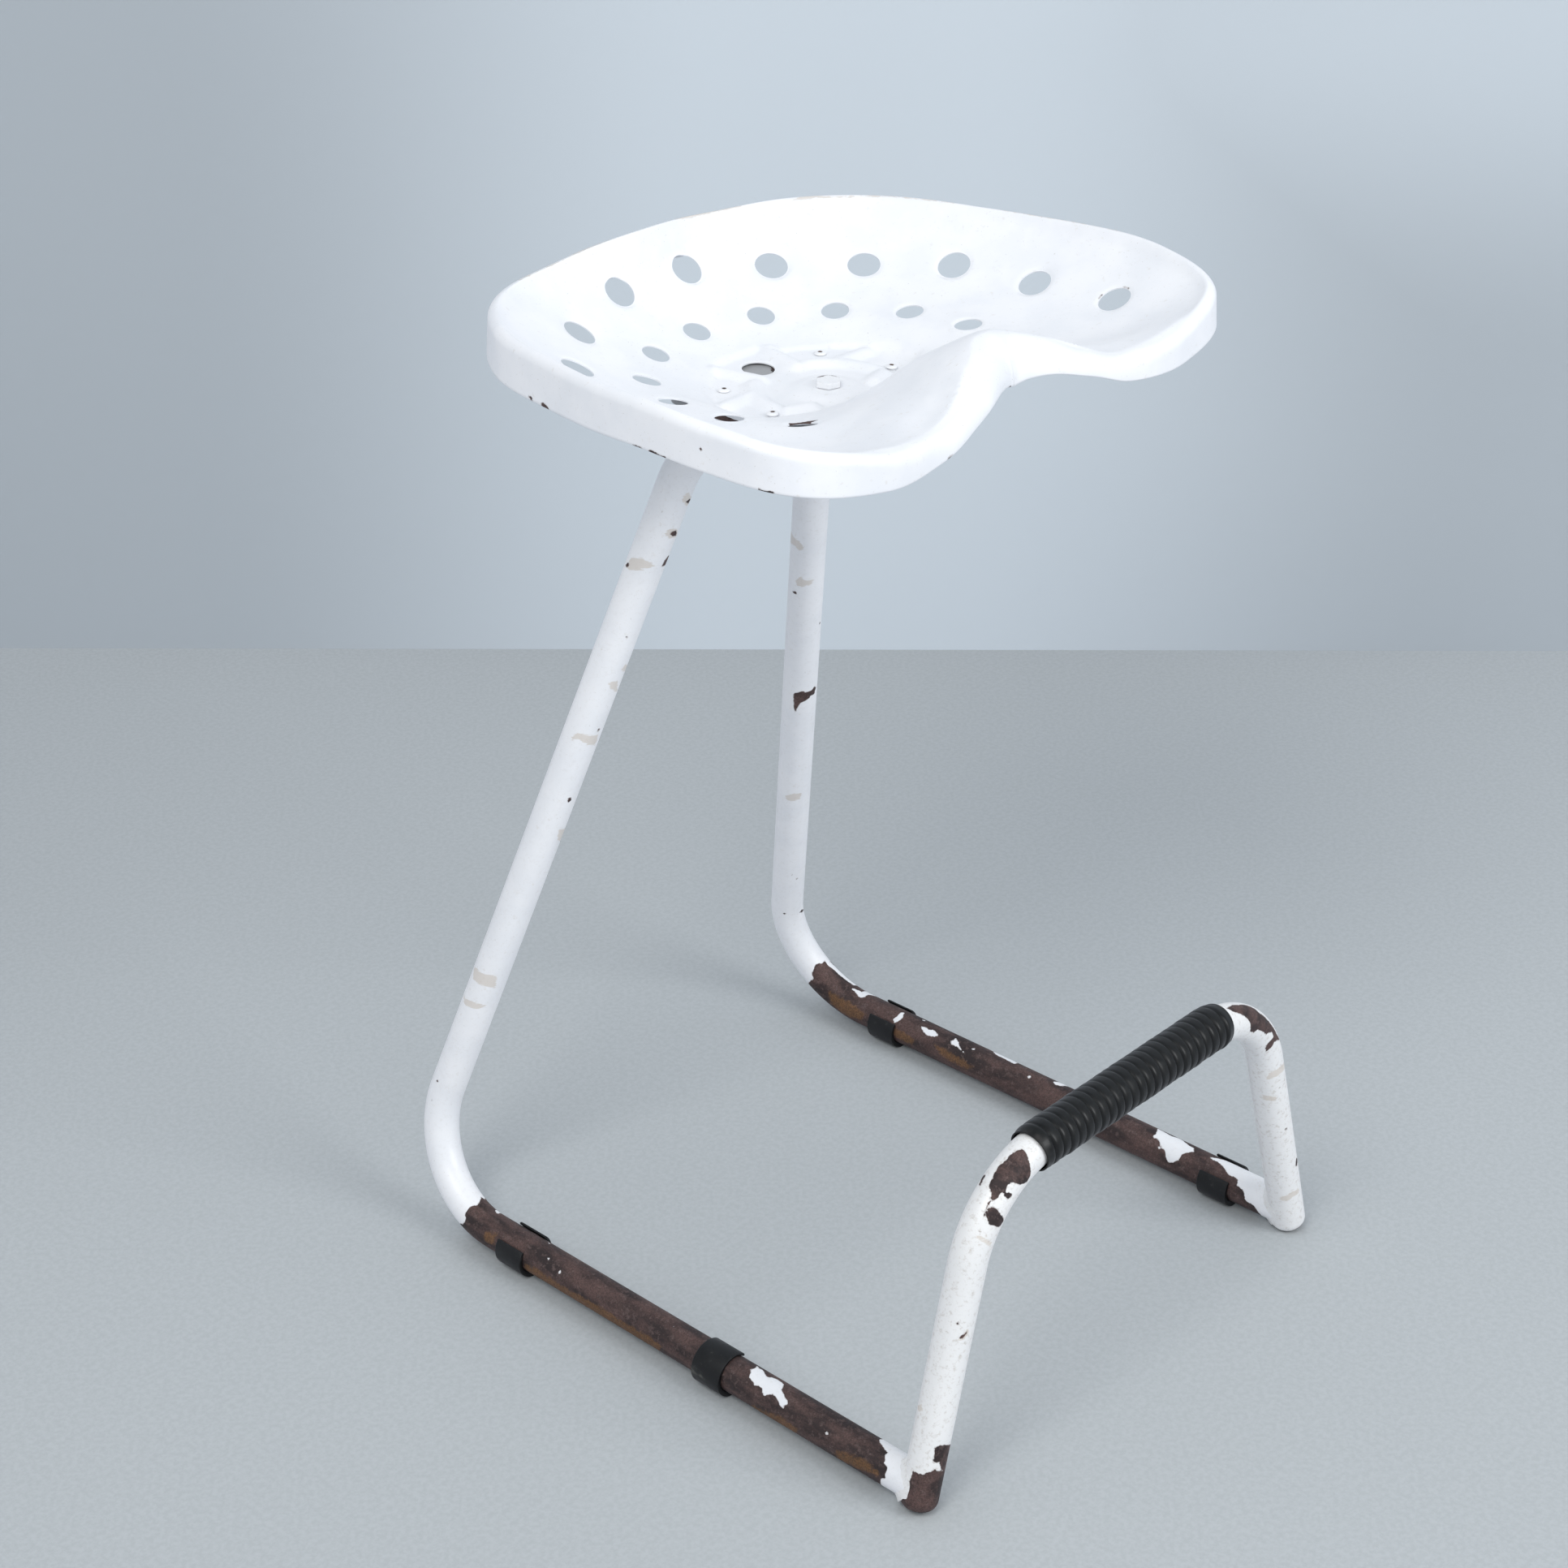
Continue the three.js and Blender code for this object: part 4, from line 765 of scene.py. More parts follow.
# Places of wear on the tubes, each a polygon of (length along the tube, length round it) in millimetres, or a fleck
# of (length along, length round, half its width)
tubeWear = {
    "leftFrame": {
        "bare": [
            [(414.5, -22.5), (414.5, -18), (417.5, -15.5), (417.5, -12.5), (417.5, -8), (415.5, -5), (417.5, -1.5),
             (421.5, 3), (419.5, 5.5), (423, 12), (409, 18), (423.5, 24.5), (412, 31), (424.5, 37), (413, 43.5),
             (420, 49.5), (414.5, 56), (414.5, 60.5), (22.5, 56), (24.5, 50), (23.5, 43), (34, 36), (27, 29),
             (39, 21.5), (28, 14.5), (40.5, 7.5), (39.5, 0.5), (34.5, -2), (29.5, -4.5), (26.5, -5), (27.5, -7.5),
             (24.5, -10), (24.5, -12), (20.5, -13.5), (20.5, -16), (20.5, -18.5), (19.5, -20), (22.5, -22.5),
             (24.5, -28.5)],
            [(1004.5, 0), (1005.5, 2.5), (1007.5, 3), (1004.5, 7), (1003.5, 4.5)],
            [(981.5, -3), (983.5, -0.5), (983.5, 2), (979.5, 5), (979.5, 0.5)],
            [(957.5, 1.5), (961.5, 2), (964.5, 5), (962.5, 8), (958.5, 8), (956.5, 5)],
            [(947.5, -23.5), (947.5, -26.5), (951.5, -24), (950.5, -21.5)],
            [(772.5, -3), (775.5, -3.5), (776.5, -1.5), (773.5, 0), (772.5, -1.5)],
            [(582.5, 7.5), (586.5, 8), (593.5, 8), (588.5, 8), (582.5, 8)],
        ],
        "bareFlecks": [(830.5, 0.5, 1.1), (526.5, -20.5, 1), (510.5, -19.5, 0.9), (592.5, -9, 0.8),
                       (902.5, -5.5, 0.8)],
        "kept": [
            [(147.5, -4), (146.5, -1.5), (146.5, 0.5), (148.5, 4.5), (144.5, 1.5), (142.5, 2.5), (138.5, 0.5),
             (132.5, -2.5), (131.5, 0), (128.5, 1.5), (125.5, 1.5), (120.5, 0), (118.5, -5), (114.5, -7),
             (111.5, -9.5), (108.5, -10), (107.5, -11.5), (109.5, -13.5), (108.5, -16), (110.5, -15.5),
             (113.5, -14), (115.5, -13), (118.5, -11), (121.5, -11), (124.5, -13), (126.5, -14.5), (128.5, -13.5),
             (130.5, -11.5), (133.5, -11), (136.5, -12), (139.5, -10.5), (143.5, -9), (144.5, -6)],
            [(403.5, 3), (405.5, 8), (399.5, 7.5), (396.5, 0.5)],
        ],
        "keptFlecks": [(345.5, 2.5, 1.3), (333.5, -10, 1.6), (319.5, -14, 1.2), (246.5, -11, 1.5),
                       (215.5, -5.5, 1.2), (71.5, -14.5, 1.6)],
        "tape": [
            [(947.5, -25), (954.5, -23), (959.5, -15), (958.5, -8), (957.5, -4.5), (954.5, -8), (950.5, -15),
             (947.5, -20)],
            [(867.5, -7), (869.5, 0.5), (859.5, 5.5), (863.5, -3.5)],
            [(820.5, -17), (825.5, -13.5), (826.5, 1.5), (817.5, 3.5), (819.5, -6), (821.5, -12), (818.5, -15.5)],
            [(750.5, -2), (748.5, 8), (741.5, 8), (736.5, 8), (741.5, 1)],
            [(622.5, -28), (626.5, -6.5), (616.5, -4.5), (614.5, -22.5)],
            [(597.5, -27.5), (601.5, -5.5), (596.5, -10), (593.5, -21.5)],
            [(877.5, 0.5), (881.5, 2), (879.5, 7), (873.5, 8)],
            [(1005.5, -3), (1009.5, -3.5), (1011.5, -0.5), (1006.5, 8), (1002.5, 8), (1001.5, 3)],
            [(981.5, -7), (984.5, -4.5), (985.5, 1.5), (978.5, 8), (977.5, 1.5), (979.5, -5)],
        ],
        "bloom": [
            [(352.5, -22), (340.5, -20), (308.5, -21.5), (276.5, -20), (245.5, -20.5), (229.5, -20), (217.5, -21.5),
             (222.5, -31.5), (235.5, -31.5), (260.5, -31), (285.5, -31.5), (313.5, -31.5), (342.5, -31.5),
             (352.5, -31)],
            [(393.5, -15.5), (382.5, -13), (381.5, -22), (394.5, -25)],
            [(61.5, -20.5), (41.5, -16.5), (24.5, -17.5), (23.5, -21.5), (40.5, -26.5), (62.5, -31)],
            [(136.5, -26.5), (110.5, -21), (92.5, -22.5), (98.5, -31.5), (119.5, -31.5), (138.5, -31.5)],
        ],
    },
    "rightFrame": {
        "bare": [
            [(445.5, -26), (445.5, -18.5), (445.5, -14), (449.5, -12), (451.5, -8.5), (453.5, -5.5), (452.5, -2.5),
             (450.5, -0.5), (451.5, 3.5), (445.5, 10.5), (457, 17.5), (445, 24.5), (454, 31.5), (439, 38.5),
             (449.5, 45.5), (445.5, 52.5), (445.5, 60), (16.5, 59), (13.5, 51), (28.5, 41.5), (32, 32), (51, 22),
             (50.5, 12.5), (67.5, 3), (62.5, 1.5), (57.5, 1.5), (51.5, -1.5), (47.5, -3.5), (41.5, -4),
             (37.5, -5.5), (36.5, -8.5), (31.5, -9.5), (28.5, -12), (27.5, -15.5), (23.5, -16.5), (19.5, -17),
             (16.5, -19.5), (13.5, -27.5)],
            [(766.5, -15), (769.5, -10), (767.5, -7), (767.5, -4.5), (767.5, -2), (770.5, 0.5), (766.5, 3.5),
             (761.5, 1.5), (762.5, -2.5), (760.5, -4.5), (758.5, -7), (757.5, -10.5), (751.5, -12.5),
             (746.5, -13.5), (751.5, -14.5), (761.5, -15.5)],
            [(865.5, -21.5), (867.5, -19), (866.5, -17), (864.5, -19)],
            [(513.5, -0.5), (513.5, 3.5), (506.5, 10), (509.5, 5)],
        ],
        "bareFlecks": [(564.5, -9, 1), (558.5, -5, 0.8), (517.5, -13, 1), (832.5, 3, 0.8)],
        "kept": [
            [(453.5, 4), (444.5, 10.5), (430.5, 12.5), (420.5, 12), (413.5, 12), (414.5, 6.5), (422.5, 6),
             (427.5, 5), (436.5, 5), (445.5, 3)],
            [(412.5, 2), (408.5, 1), (398.5, -1.5), (395.5, 0.5), (395.5, 5), (391.5, 11), (394.5, 11.5),
             (402.5, 12), (403.5, 5), (409.5, 4)],
            [(360.5, -6), (359.5, -2.5), (359.5, 2.5), (357.5, 4), (354.5, -1.5), (355.5, -6), (358.5, -8)],
            [(335.5, -1.5), (332.5, -0.5), (328.5, -1), (325.5, 0.5), (321.5, -0.5), (316.5, -2.5), (319.5, -4.5),
             (324.5, -6.5), (327.5, -6.5), (330.5, -5), (334.5, -2.5)],
            [(306.5, -2.5), (304.5, -0.5), (304.5, 2.5), (299.5, 0), (295.5, -3), (289.5, -6), (293.5, -6),
             (297.5, -4), (303.5, -4.5)],
            [(276.5, 11.5), (265.5, 11), (255.5, 11.5), (247.5, 9.5), (248.5, 4.5), (256.5, 5), (266.5, 5)],
            [(211.5, 5), (209.5, 10.5), (204.5, 11), (200.5, 11), (203.5, 4.5), (207.5, 2.5)],
            [(115.5, -1.5), (113.5, 0.5), (117.5, 9), (113.5, 8.5), (103.5, 7), (98.5, 10.5), (87.5, 5), (81.5, 5),
             (79.5, 0.5), (83.5, -2), (86.5, -5.5), (86.5, -10), (89.5, -13.5), (94.5, -15), (97.5, -12),
             (100.5, -8), (105.5, -6), (108.5, -2.5), (113.5, -2.5)],
        ],
        "keptFlecks": [(339.5, 6, 1.4), (285.5, 0, 1.3), (229.5, -1, 1.3), (105.5, -8, 1.2), (364.5, 10.5, 0.9)],
        "tape": [
            [(916.5, -30.5), (916.5, -25), (916.5, -18), (910.5, -13.5), (907.5, -17.5), (909.5, -22),
             (905.5, -30)],
            [(877.5, -19.5), (883.5, -15.5), (880.5, -11.5), (880.5, -6), (876.5, -8), (873.5, -17.5)],
            [(654.5, -17.5), (658.5, -11), (658.5, -5.5), (652.5, -6), (649.5, -13), (650.5, -17)],
        ],
        "bloom": [
            [(428.5, -11), (403.5, -8), (385.5, -11.5), (389.5, -19), (408.5, -23.5), (424.5, -19.5)],
            [(360.5, -11.5), (348.5, -11), (333.5, -13), (339.5, -20.5), (354.5, -19.5)],
            [(318.5, -9), (294.5, -10), (276.5, -13), (284.5, -18.5), (308.5, -17)],
        ],
    },
    "loop": {
        "bare": [
            [(12.5, 37), (17.5, 37.5), (22.5, 38.5), (29.5, 39), (28.5, 43), (29.5, 46.5), (32.5, 50), (34.5, 53),
             (32.5, 56), (31.5, 60), (34.5, 69.5), (39, 78.5), (25, 88), (31, 97), (11.5, 106.5), (12.5, 115.5),
             (17.5, 116), (-6, 116), (-6, 37)],
            [(49.5, -29), (50.5, -25.5), (50.5, -21.5), (48.5, -13.5), (45.5, -4.5), (33.5, -8), (31.5, -17),
             (34.5, -21.5), (38.5, -23.5), (38.5, -26.5), (39.5, -28), (44.5, -28)],
            [(216.5, -38.5), (220.5, -39.5), (226.5, -41), (232.5, -39.5), (239.5, -39), (242.5, -37),
             (244.5, -34.5), (242.5, -30), (239.5, -23), (236.5, -18.5), (232.5, -17.5), (227.5, -22), (226.5, -25),
             (225.5, -27), (221.5, -29), (218.5, -27.5), (219.5, -23.5), (217.5, -22), (215.5, -23.5), (215.5, -27),
             (217.5, -30), (213.5, -30), (210.5, -31), (210.5, -33), (213.5, -35)],
            [(206.5, -32), (207.5, -31), (208.5, -29), (207.5, -26), (205.5, -22.5), (205.5, -17.5), (202.5, -15),
             (198.5, -18.5), (198.5, -23), (198.5, -27.5), (200.5, -29.5), (201.5, -31.5), (204.5, -31.5)],
            [(210.5, -34), (209.5, -33), (204.5, -32.5), (200.5, -31.5), (200.5, -32.5), (204.5, -33)],
            [(215.5, 31), (217.5, 30), (222.5, 27), (220.5, 31.5), (216.5, 33.5), (214.5, 33.5)],
            [(192.5, -32), (192.5, -30.5), (190.5, -30), (191.5, -31)],
            [(125.5, -27), (127.5, -24.5), (130.5, -23), (128.5, -22.5), (125.5, -25), (124.5, -26)],
            [(454.5, -36.5), (462.5, -37.5), (472.5, -37), (482.5, -35.5), (488.5, -31.5), (499.5, -30),
             (507.5, -28.5), (515.5, -27.5), (524.5, -29.5), (513.5, -20.5), (515.5, -16.5), (516.5, -11.5),
             (509.5, -14), (508.5, -17), (510.5, -22.5), (505.5, -24), (501.5, -21.5), (499.5, -19), (491.5, -19.5),
             (485.5, -19.5), (482.5, -16.5), (476.5, -16.5), (474.5, -20.5), (470.5, -25), (464.5, -29),
             (457.5, -32.5)],
            [(635.5, -24.5), (640.5, -28), (642.5, -23.5), (640.5, -21.5)],
            [(702.4, -45), (700.4, -20), (702.9, 0), (704.4, 10), (701.4, 30), (702.4, 45), (711.4, 45),
             (711.4, -45)],
        ],
        "bareFlecks": [(167.5, -31, 0.8), (134.5, -30.5, 0.8), (206.5, -13.5, 0.7), (558.5, -16.5, 0.8),
                       (599.5, -16.5, 0.9)],
        "tape": [
            [(190.5, -32), (190.5, -28.5), (188.5, -19.5), (185.5, -19.5), (187.5, -26), (188.5, -31)],
            [(245.5, -12), (250.5, -12), (250.5, -15.5), (251.5, -12), (245.5, -12.5)],
            [(123.5, -28), (126.5, -25.5), (131.5, -23), (128.5, -21), (123.5, -24), (122.5, -27)],
            [(68.5, 27), (73.5, 34.5), (70.5, 37.5), (67.5, 33.5)],
            [(546.5, -8), (546.5, -12), (546.5, -19.5), (549.5, -28), (543.5, -28), (540.5, -20), (540.5, -15.5),
             (540.5, -10)],
            [(561.5, -3.5), (563.5, -9), (564.5, -13.5), (568.5, -12), (567.5, -5.5), (565.5, -3.5)],
            [(663.5, -6), (663.5, -11), (661.5, -14.5), (664.5, -22.5), (667.5, -20.5), (667.5, -14), (669.5, -9.5),
             (667.5, -5)],
        ],
    },
}
bloomFade = 4.0  # millimetres to each side of a bloom's edge


# A fleck as a polygon: a diamond round its middle
def fleckCorners(along, girth, half):
    return [(along - half, girth), (along, girth + half), (along + half, girth), (along, girth - half)]


# Wear values of a tube: bare patches less the paint islands left on them, each polygon tried a turn either way too
def tubeValues(name, marks, around):
    girth, wear = around * tube["radius"], tubeWear[name]

    def nearest(kind):
        least = np.full(len(marks), farAway)
        for corners in wear.get(kind, []) + [fleckCorners(*spot) for spot in wear.get(kind + "Flecks", [])]:
            for shift in (-tube["turn"], 0, tube["turn"]):
                least = np.minimum(least, polygonDistance(marks, girth + shift, corners))
        return least

    bloom = ease(bloomFade, -bloomFade, nearest("bloom"))
    return paintValues(np.maximum(nearest("bare"), -nearest("kept")), nearest("tape"), bloom)


# Frame tubes. The front end follows the round of the front leg: a line from the runner's surface meets the leg's
# cylinder where the part of it square to the leg's axis is one radius long.
def makeFrameTube(name, side, nodes):
    mirror = np.array([side, 1, 1])
    legBottom, rear, legTop = sidePlaces(side)
    armCorner = np.array([stand["armHalf"], seat["middle"] + stand["armCornerBack"], stand["armHeight"]]) * mirror
    armEnd = np.array([stand["armHalf"], seat["middle"] - stand["armFrontReach"], stand["armHeight"]]) * mirror
    path = bentPath([legBottom, rear, armCorner, armEnd], [stand["rearBend"], stand["armBend"]])
    length = path["ends"][-1]
    radius, bore, sides = tube["radius"], tube["radius"] - tube["wall"], tube["sides"]
    runnerWay, legWay = unit(rear - legBottom), unit(armCorner - rear)
    reference = unit(np.cross(runnerWay, legWay))
    legAxis = unit(legTop - legBottom)
    outerStart, boreStart = (reachLeg(ringPoints(path, np.zeros(1), [size], sides, reference)[0] - legBottom,
                                      runnerWay, legAxis) for size in (radius, bore))
    even = np.arange(0, length - 1.2, tube["step"])[:, None] * np.ones(sides)
    shift = (1 - ease(0, tube["settle"], even)) * outerStart
    outer = even + shift * (1 - even / length)
    marks = [outer] + [np.full((1, sides), length - back) for back in (1.0, 0.3, 0.0, 0.0, 0.5)]
    radii = [np.full(len(outer), radius), [radius, radius - 0.15, radius - 0.6, bore + 0.4, bore]]
    inside = np.linspace(length - 30, 60, 60)[:, None] * np.ones(sides)
    marks += [inside, boreStart[None] + 6.0, boreStart[None]]
    radii += [np.full(len(inside), bore), [bore, bore]]
    marks, radii = np.concatenate(marks), np.concatenate(radii)
    points, along, around = ringPoints(path, marks, radii, sides, reference)
    faces = ringFaces(len(marks), sides, closed=True)
    values = tubeValues(name, along, around)
    return makePiece(name + "Tube", points, [faces], whitePaint, nodes, values)


# Line of the loop: both rounded leg ends stand on the floor. The axis ends where the lower side of the round just
# reaches it: height = c (1 - cos lean) + (r - c) sin lean for a round of radius c on a tube of radius r.
def loopPath():
    bottom, _, corner = sidePlaces(1)
    rise = unit(corner - bottom)
    lean = math.acos(rise[2])
    lift = footrest["endRound"] * (1 - math.cos(lean)) + (tube["radius"] - footrest["endRound"]) * math.sin(lean)
    foot = bottom + rise * (lift - stand["runnerHeight"]) / rise[2]
    flip = np.array([-1, 1, 1])
    path = bentPath([foot * flip, corner * flip, corner, foot], [footrest["bend"], footrest["bend"]])
    return path, np.cross(rise, [1, 0, 0])


# The loop's skin: out round one leg end, along the tube, in round the other, and back along the bore. A rounded end
# of radius c has marks c (1 - cos t) and radii r - c (1 - sin t).
def makeFootrestLoop():
    path, reference = loopPath()
    length = path["ends"][-1]
    radius, bore, sides = tube["radius"], tube["radius"] - tube["wall"], tube["sides"]
    swing = np.radians(np.linspace(0, 90, 9))
    endMarks = np.concatenate([[1.2, 0.3, 0], footrest["endRound"] * (1 - np.cos(swing))])
    endRadii = np.concatenate([[footrest["vent"], footrest["vent"], footrest["vent"] + 0.4],
                               radius - footrest["endRound"] * (1 - np.sin(swing))])
    body = np.arange(footrest["endRound"] + 1.5, length - footrest["endRound"] - 1, tube["step"])
    wall = footrest["endWall"]
    inMarks = np.array([wall + 4.0, wall + 1.0, wall, wall])
    inRadii = np.array([bore, bore - 1.0, bore - 4.0, footrest["vent"]])
    inside = np.linspace(length - 20, 20, 70)
    marks = np.concatenate([endMarks, body, length - endMarks[::-1], length - inMarks[::-1], inside, inMarks])
    radii = np.concatenate([endRadii, np.full(len(body), radius), endRadii[::-1], inRadii[::-1],
                            np.full(len(inside), bore), inRadii])
    points, along, around = ringPoints(path, marks, radii, sides, reference)
    faces = ringFaces(len(marks), sides, closed=True)
    values = tubeValues("loop", along, around)
    return makePiece("footrestTube", points, [faces], loopPaint, ["footrest_loop"], values)


makeFrameTube("leftFrame", -1, ["left_frame_tube"])
makeFrameTube("rightFrame", 1, ["right_frame_tube"])
makeFootrestLoop()
print("tubes made")

# Ribbed sleeve: each rib is a round crest and a narrow groove, worn low on top and deep on the side that feet miss
sleeve = {"gap": 0.3, "wall": 1.5, "rib": 1.35, "pitch": 7.9, "ribs": 25, "shift": 1.0, "lip": 1.0, "spread": 0.9,
          "steps": 10, "sides": 72, "topDepth": 0.3, "uneven": 0.22, "crestPower": 4.0, "grooveFill": 0.8,
          "endInside": 24.0, "insideRings": 24, "endScuff": 0.35, "backScuff": 0.12}


# Radius along a rib at share t: low + (root + rib - low) (1 - |2t - 1|^p), a broad crest between narrow grooves,
# where low is the groove's radius. On top, where feet rub, little of the groove's depth is left.
def makeSleeve():
    path, reference = loopPath()
    length = path["ends"][-1]
    start = (length - sleeve["ribs"] * sleeve["pitch"]) / 2 - sleeve["shift"]
    steps, sides = sleeve["steps"], sleeve["sides"]
    count = sleeve["ribs"] * steps + 1
    marks = start + np.arange(count) * sleeve["pitch"] / steps
    share = (np.arange(count) / steps) % 1.0
    rib = np.arange(count) // steps
    angle = circleSteps(sides)
    centre, tangent = pathAt(path, marks)
    side = unit(reference - tangent * dot(tangent, reference))
    up = np.cross(side, tangent)
    facing = up[:, None, :] * np.cos(angle)[None, :, None] + side[:, None, :] * np.sin(angle)[None, :, None]
    depth = 1 - (1 - sleeve["topDepth"]) * ease(-0.1, 0.9, facing[..., 2] * 0.8 + facing[..., 1] * 0.45)
    uneven = 1 + sleeve["uneven"] * np.sin(rib * 2.1 + 1.3)[:, None] * np.sin(angle + rib[:, None] * 0.9)
    crest = 1 - np.abs(2 * share - 1) ** sleeve["crestPower"]
    root = tube["radius"] + sleeve["gap"] + sleeve["wall"]
    low = root + sleeve["rib"] * (1 - depth) * sleeve["grooveFill"]
    outer = low + (root + sleeve["rib"] - low) * crest[:, None] * uneven
    bore = tube["radius"] + sleeve["gap"]
    lipInner = bore + sleeve["spread"]
    lipOuter = lipInner + sleeve["lip"]
    end = start + sleeve["ribs"] * sleeve["pitch"]
    rise = ease(0, steps * 0.8, np.arange(count))[:, None]
    grow = rise * rise[::-1]
    outer = (lipOuter + 0.15) * (1 - grow) + outer * grow
    mouth = np.array([(-0.15, lipOuter - 0.2), (-0.15, lipInner + 0.2), (0.3, lipInner), (2, lipInner),
                      (9, bore + 0.4), (18, bore)])  # depth into the sleeve, radius there
    insideMarks = np.linspace(end - sleeve["endInside"], start + sleeve["endInside"], sleeve["insideRings"])
    allMarks = np.concatenate([marks, end - mouth[:, 0], insideMarks, start + mouth[::-1, 0]])
    insideRadii = np.concatenate([mouth[:, 1], np.full(len(insideMarks), bore), mouth[::-1, 1]])
    radii = np.concatenate([outer, insideRadii[:, None] * np.ones(sides)])
    points, along, around = ringPoints(path, allMarks, radii, sides, reference)
    faces = ringFaces(len(allMarks), sides, closed=True)
    ends = np.minimum(along - start, end - along)
    below = ease(0.5, 1.0, np.abs(around) / np.pi)
    values = {"scuff": sleeve["endScuff"] * ease(6, 0, ends) + sleeve["backScuff"] * below}
    makePiece("footrestSleeve", points, [faces], sleeveRubber, ["footrest_sleeve"], values, 60)


makeSleeve()
print("sleeve made")

# Glide clips: a band bent round the runner, open above, thicker below and flat where it stands on the floor
clip = {"wall": 1.6, "wear": 0.35, "length": 25.0, "mouth": 96.0, "turn": 8.0, "turnedAway": -95.0, "round": 0.5,
        "arcSteps": 72, "gap": 0.3, "tip": 0.8, "scuff": 0.15}


# The band's section at each angle is a rounded box from the inner radius out to the outer one, pinched at both tips:
# outer radius = -d sin a + sqrt(R^2 - d^2 cos^2 a), the edge of a circle of radius R whose middle is d lower.
def makeClip(name, side, share, mouthTurn, node, scuffed):
    inner = tube["radius"] + clip["gap"]
    reach = stand["runnerHeight"] + clip["wear"]
    size = (reach + inner + clip["wall"]) / 2
    drop = reach - size
    first, last = 90 + mouthTurn + clip["mouth"] / 2, 450 + mouthTurn - clip["mouth"] / 2
    angle = np.radians(np.linspace(first, last, clip["arcSteps"] + 1))
    outer = -drop * np.sin(angle) + np.sqrt(size ** 2 - (drop * np.cos(angle)) ** 2)
    down = -np.sin(angle)
    outer = np.where(down > 0.5, np.minimum(outer, stand["runnerHeight"] / np.maximum(down, 0.5)), outer)
    tips = np.minimum(angle - angle[0], angle[-1] - angle) * inner
    pinch = np.sqrt(np.clip(1 - (1 - np.minimum(tips / clip["tip"], 1)) ** 2, 0.02, 1))
    middle, half = (inner + outer) / 2, (outer - inner) / 2 * pinch
    r, long = clip["round"], clip["length"] / 2
    corner = np.radians(np.arange(0, 91, 30))
    box = []
    for sx, sy, begin in ((1, 1, 0), (-1, 1, 90), (-1, -1, 180), (1, -1, 270)):
        box += [(sx, sy, math.cos(math.radians(begin) + t), math.sin(math.radians(begin) + t)) for t in corner]
    points = []
    runnerFront, runnerRear, _ = sidePlaces(side)
    back = unit(runnerFront - runnerRear)
    across = unit(np.cross([0, 0, 1.0], back))
    place = runnerFront + (runnerRear - runnerFront) * share
    for sx, sy, cx, cy in box:
        rounding = np.minimum(r, half * 0.9)
        radial = middle + sx * (half - rounding) + rounding * cx
        endways = sy * (long - r) + r * cy
        flat = across[None] * np.cos(angle)[:, None] + np.array([0, 0, 1.0]) * np.sin(angle)[:, None]
        points.append(place + flat * radial[:, None] + back * endways)
    points = np.stack(points, axis=1)
    rings, sides = points.shape[:2]
    points = points.reshape(-1, 3)
    faces = ringFaces(rings, sides)
    caps = np.array([np.arange(sides)[::-1], (rings - 1) * sides + np.arange(sides)])
    values = {"scuff": np.full(len(points), clip["scuff"])}
    for x, y, z, size, amount in scuffed:
        values["scuff"] += amount * ease(size, 0, np.linalg.norm(points - [x, y, z], axis=1))
    makePiece(name, points, [faces, caps], clipPlastic, [node], values, 50)


makeClip("nearRearClip", -1, 0.757, clip["turn"], "near_rear_glide", [])
makeClip("nearFrontClip", -1, 0.362, clip["turnedAway"], "near_front_glide", [(-214.0, -50.0, 16.0, 12.0, 0.7)])
makeClip("farRearClip", 1, 0.762, clip["turn"], "far_rear_glide", [])
makeClip("farFrontClip", 1, 0.113, clip["turn"], "far_front_glide", [])
print("clips made")


# Weld bead: its size, two ripples of (height, waves, start), how hollow it is and how far its edges stand proud
weld = {"size": 3.4, "ripples": [(0.35, 17, 0), (0.3, 5, 1)], "hollow": 0.42, "proud": 0.05, "sides": 96}


# Weld fillet where a runner meets its front leg. For each angle round the runner, P is the meeting point of the two
# surfaces; the fillet is a curve from P along the runner to P along the leg, rippled as a bead is.
def makeWeld(name, side, node):
    legBottom, rear, legTop = sidePlaces(side)
    legAxis = unit(legTop - legBottom)
    way = unit(rear - legBottom)
    count = weld["sides"]
    swing = circleSteps(count)
    up = unit(np.array([0, 0, 1.0]) - way * way[2])
    sideways = np.cross(up, way)
    ring = up * np.cos(swing)[:, None] + sideways * np.sin(swing)[:, None]
    rim = ring * tube["radius"]
    meet = legBottom + rim + way * reachLeg(rim, way, legAxis)[:, None]
    legOut = unit(meet - legBottom - dot(meet - legBottom, legAxis) * legAxis)
    onLeg = ring - dot(ring, legOut) * legOut
    onLeg = onLeg / np.maximum(np.linalg.norm(onLeg, axis=1, keepdims=True), 0.35)
    ripples = [high * np.sin(swing * waves + begin) for high, waves, begin in weld["ripples"]]
    size = weld["size"] + ripples[0] + ripples[1]
    proud = weld["proud"]
    a, b = meet + way * size[:, None] + ring * proud, meet + onLeg * size[:, None] + legOut * proud
    control = meet + (way + onLeg) * (size * weld["hollow"])[:, None]
    rows = [a * (1 - t) ** 2 + control * 2 * t * (1 - t) + b * t * t for t in np.linspace(0, 1, 9)]
    rows += [b - legOut * 1.0, meet - (ring + legOut) * 0.8, a - ring * 1.0]
    points = np.stack(rows, axis=1).reshape(-1, 3)
    faces = ringFaces(count, len(rows), closed=True)
    values = paintValues(np.full(len(points), farAway))
    makePiece(name, points, [faces], loopPaint, [node], values, 70)


makeWeld("leftWeld", -1, "left_corner_weld")
makeWeld("rightWeld", 1, "right_corner_weld")
print("welds made")


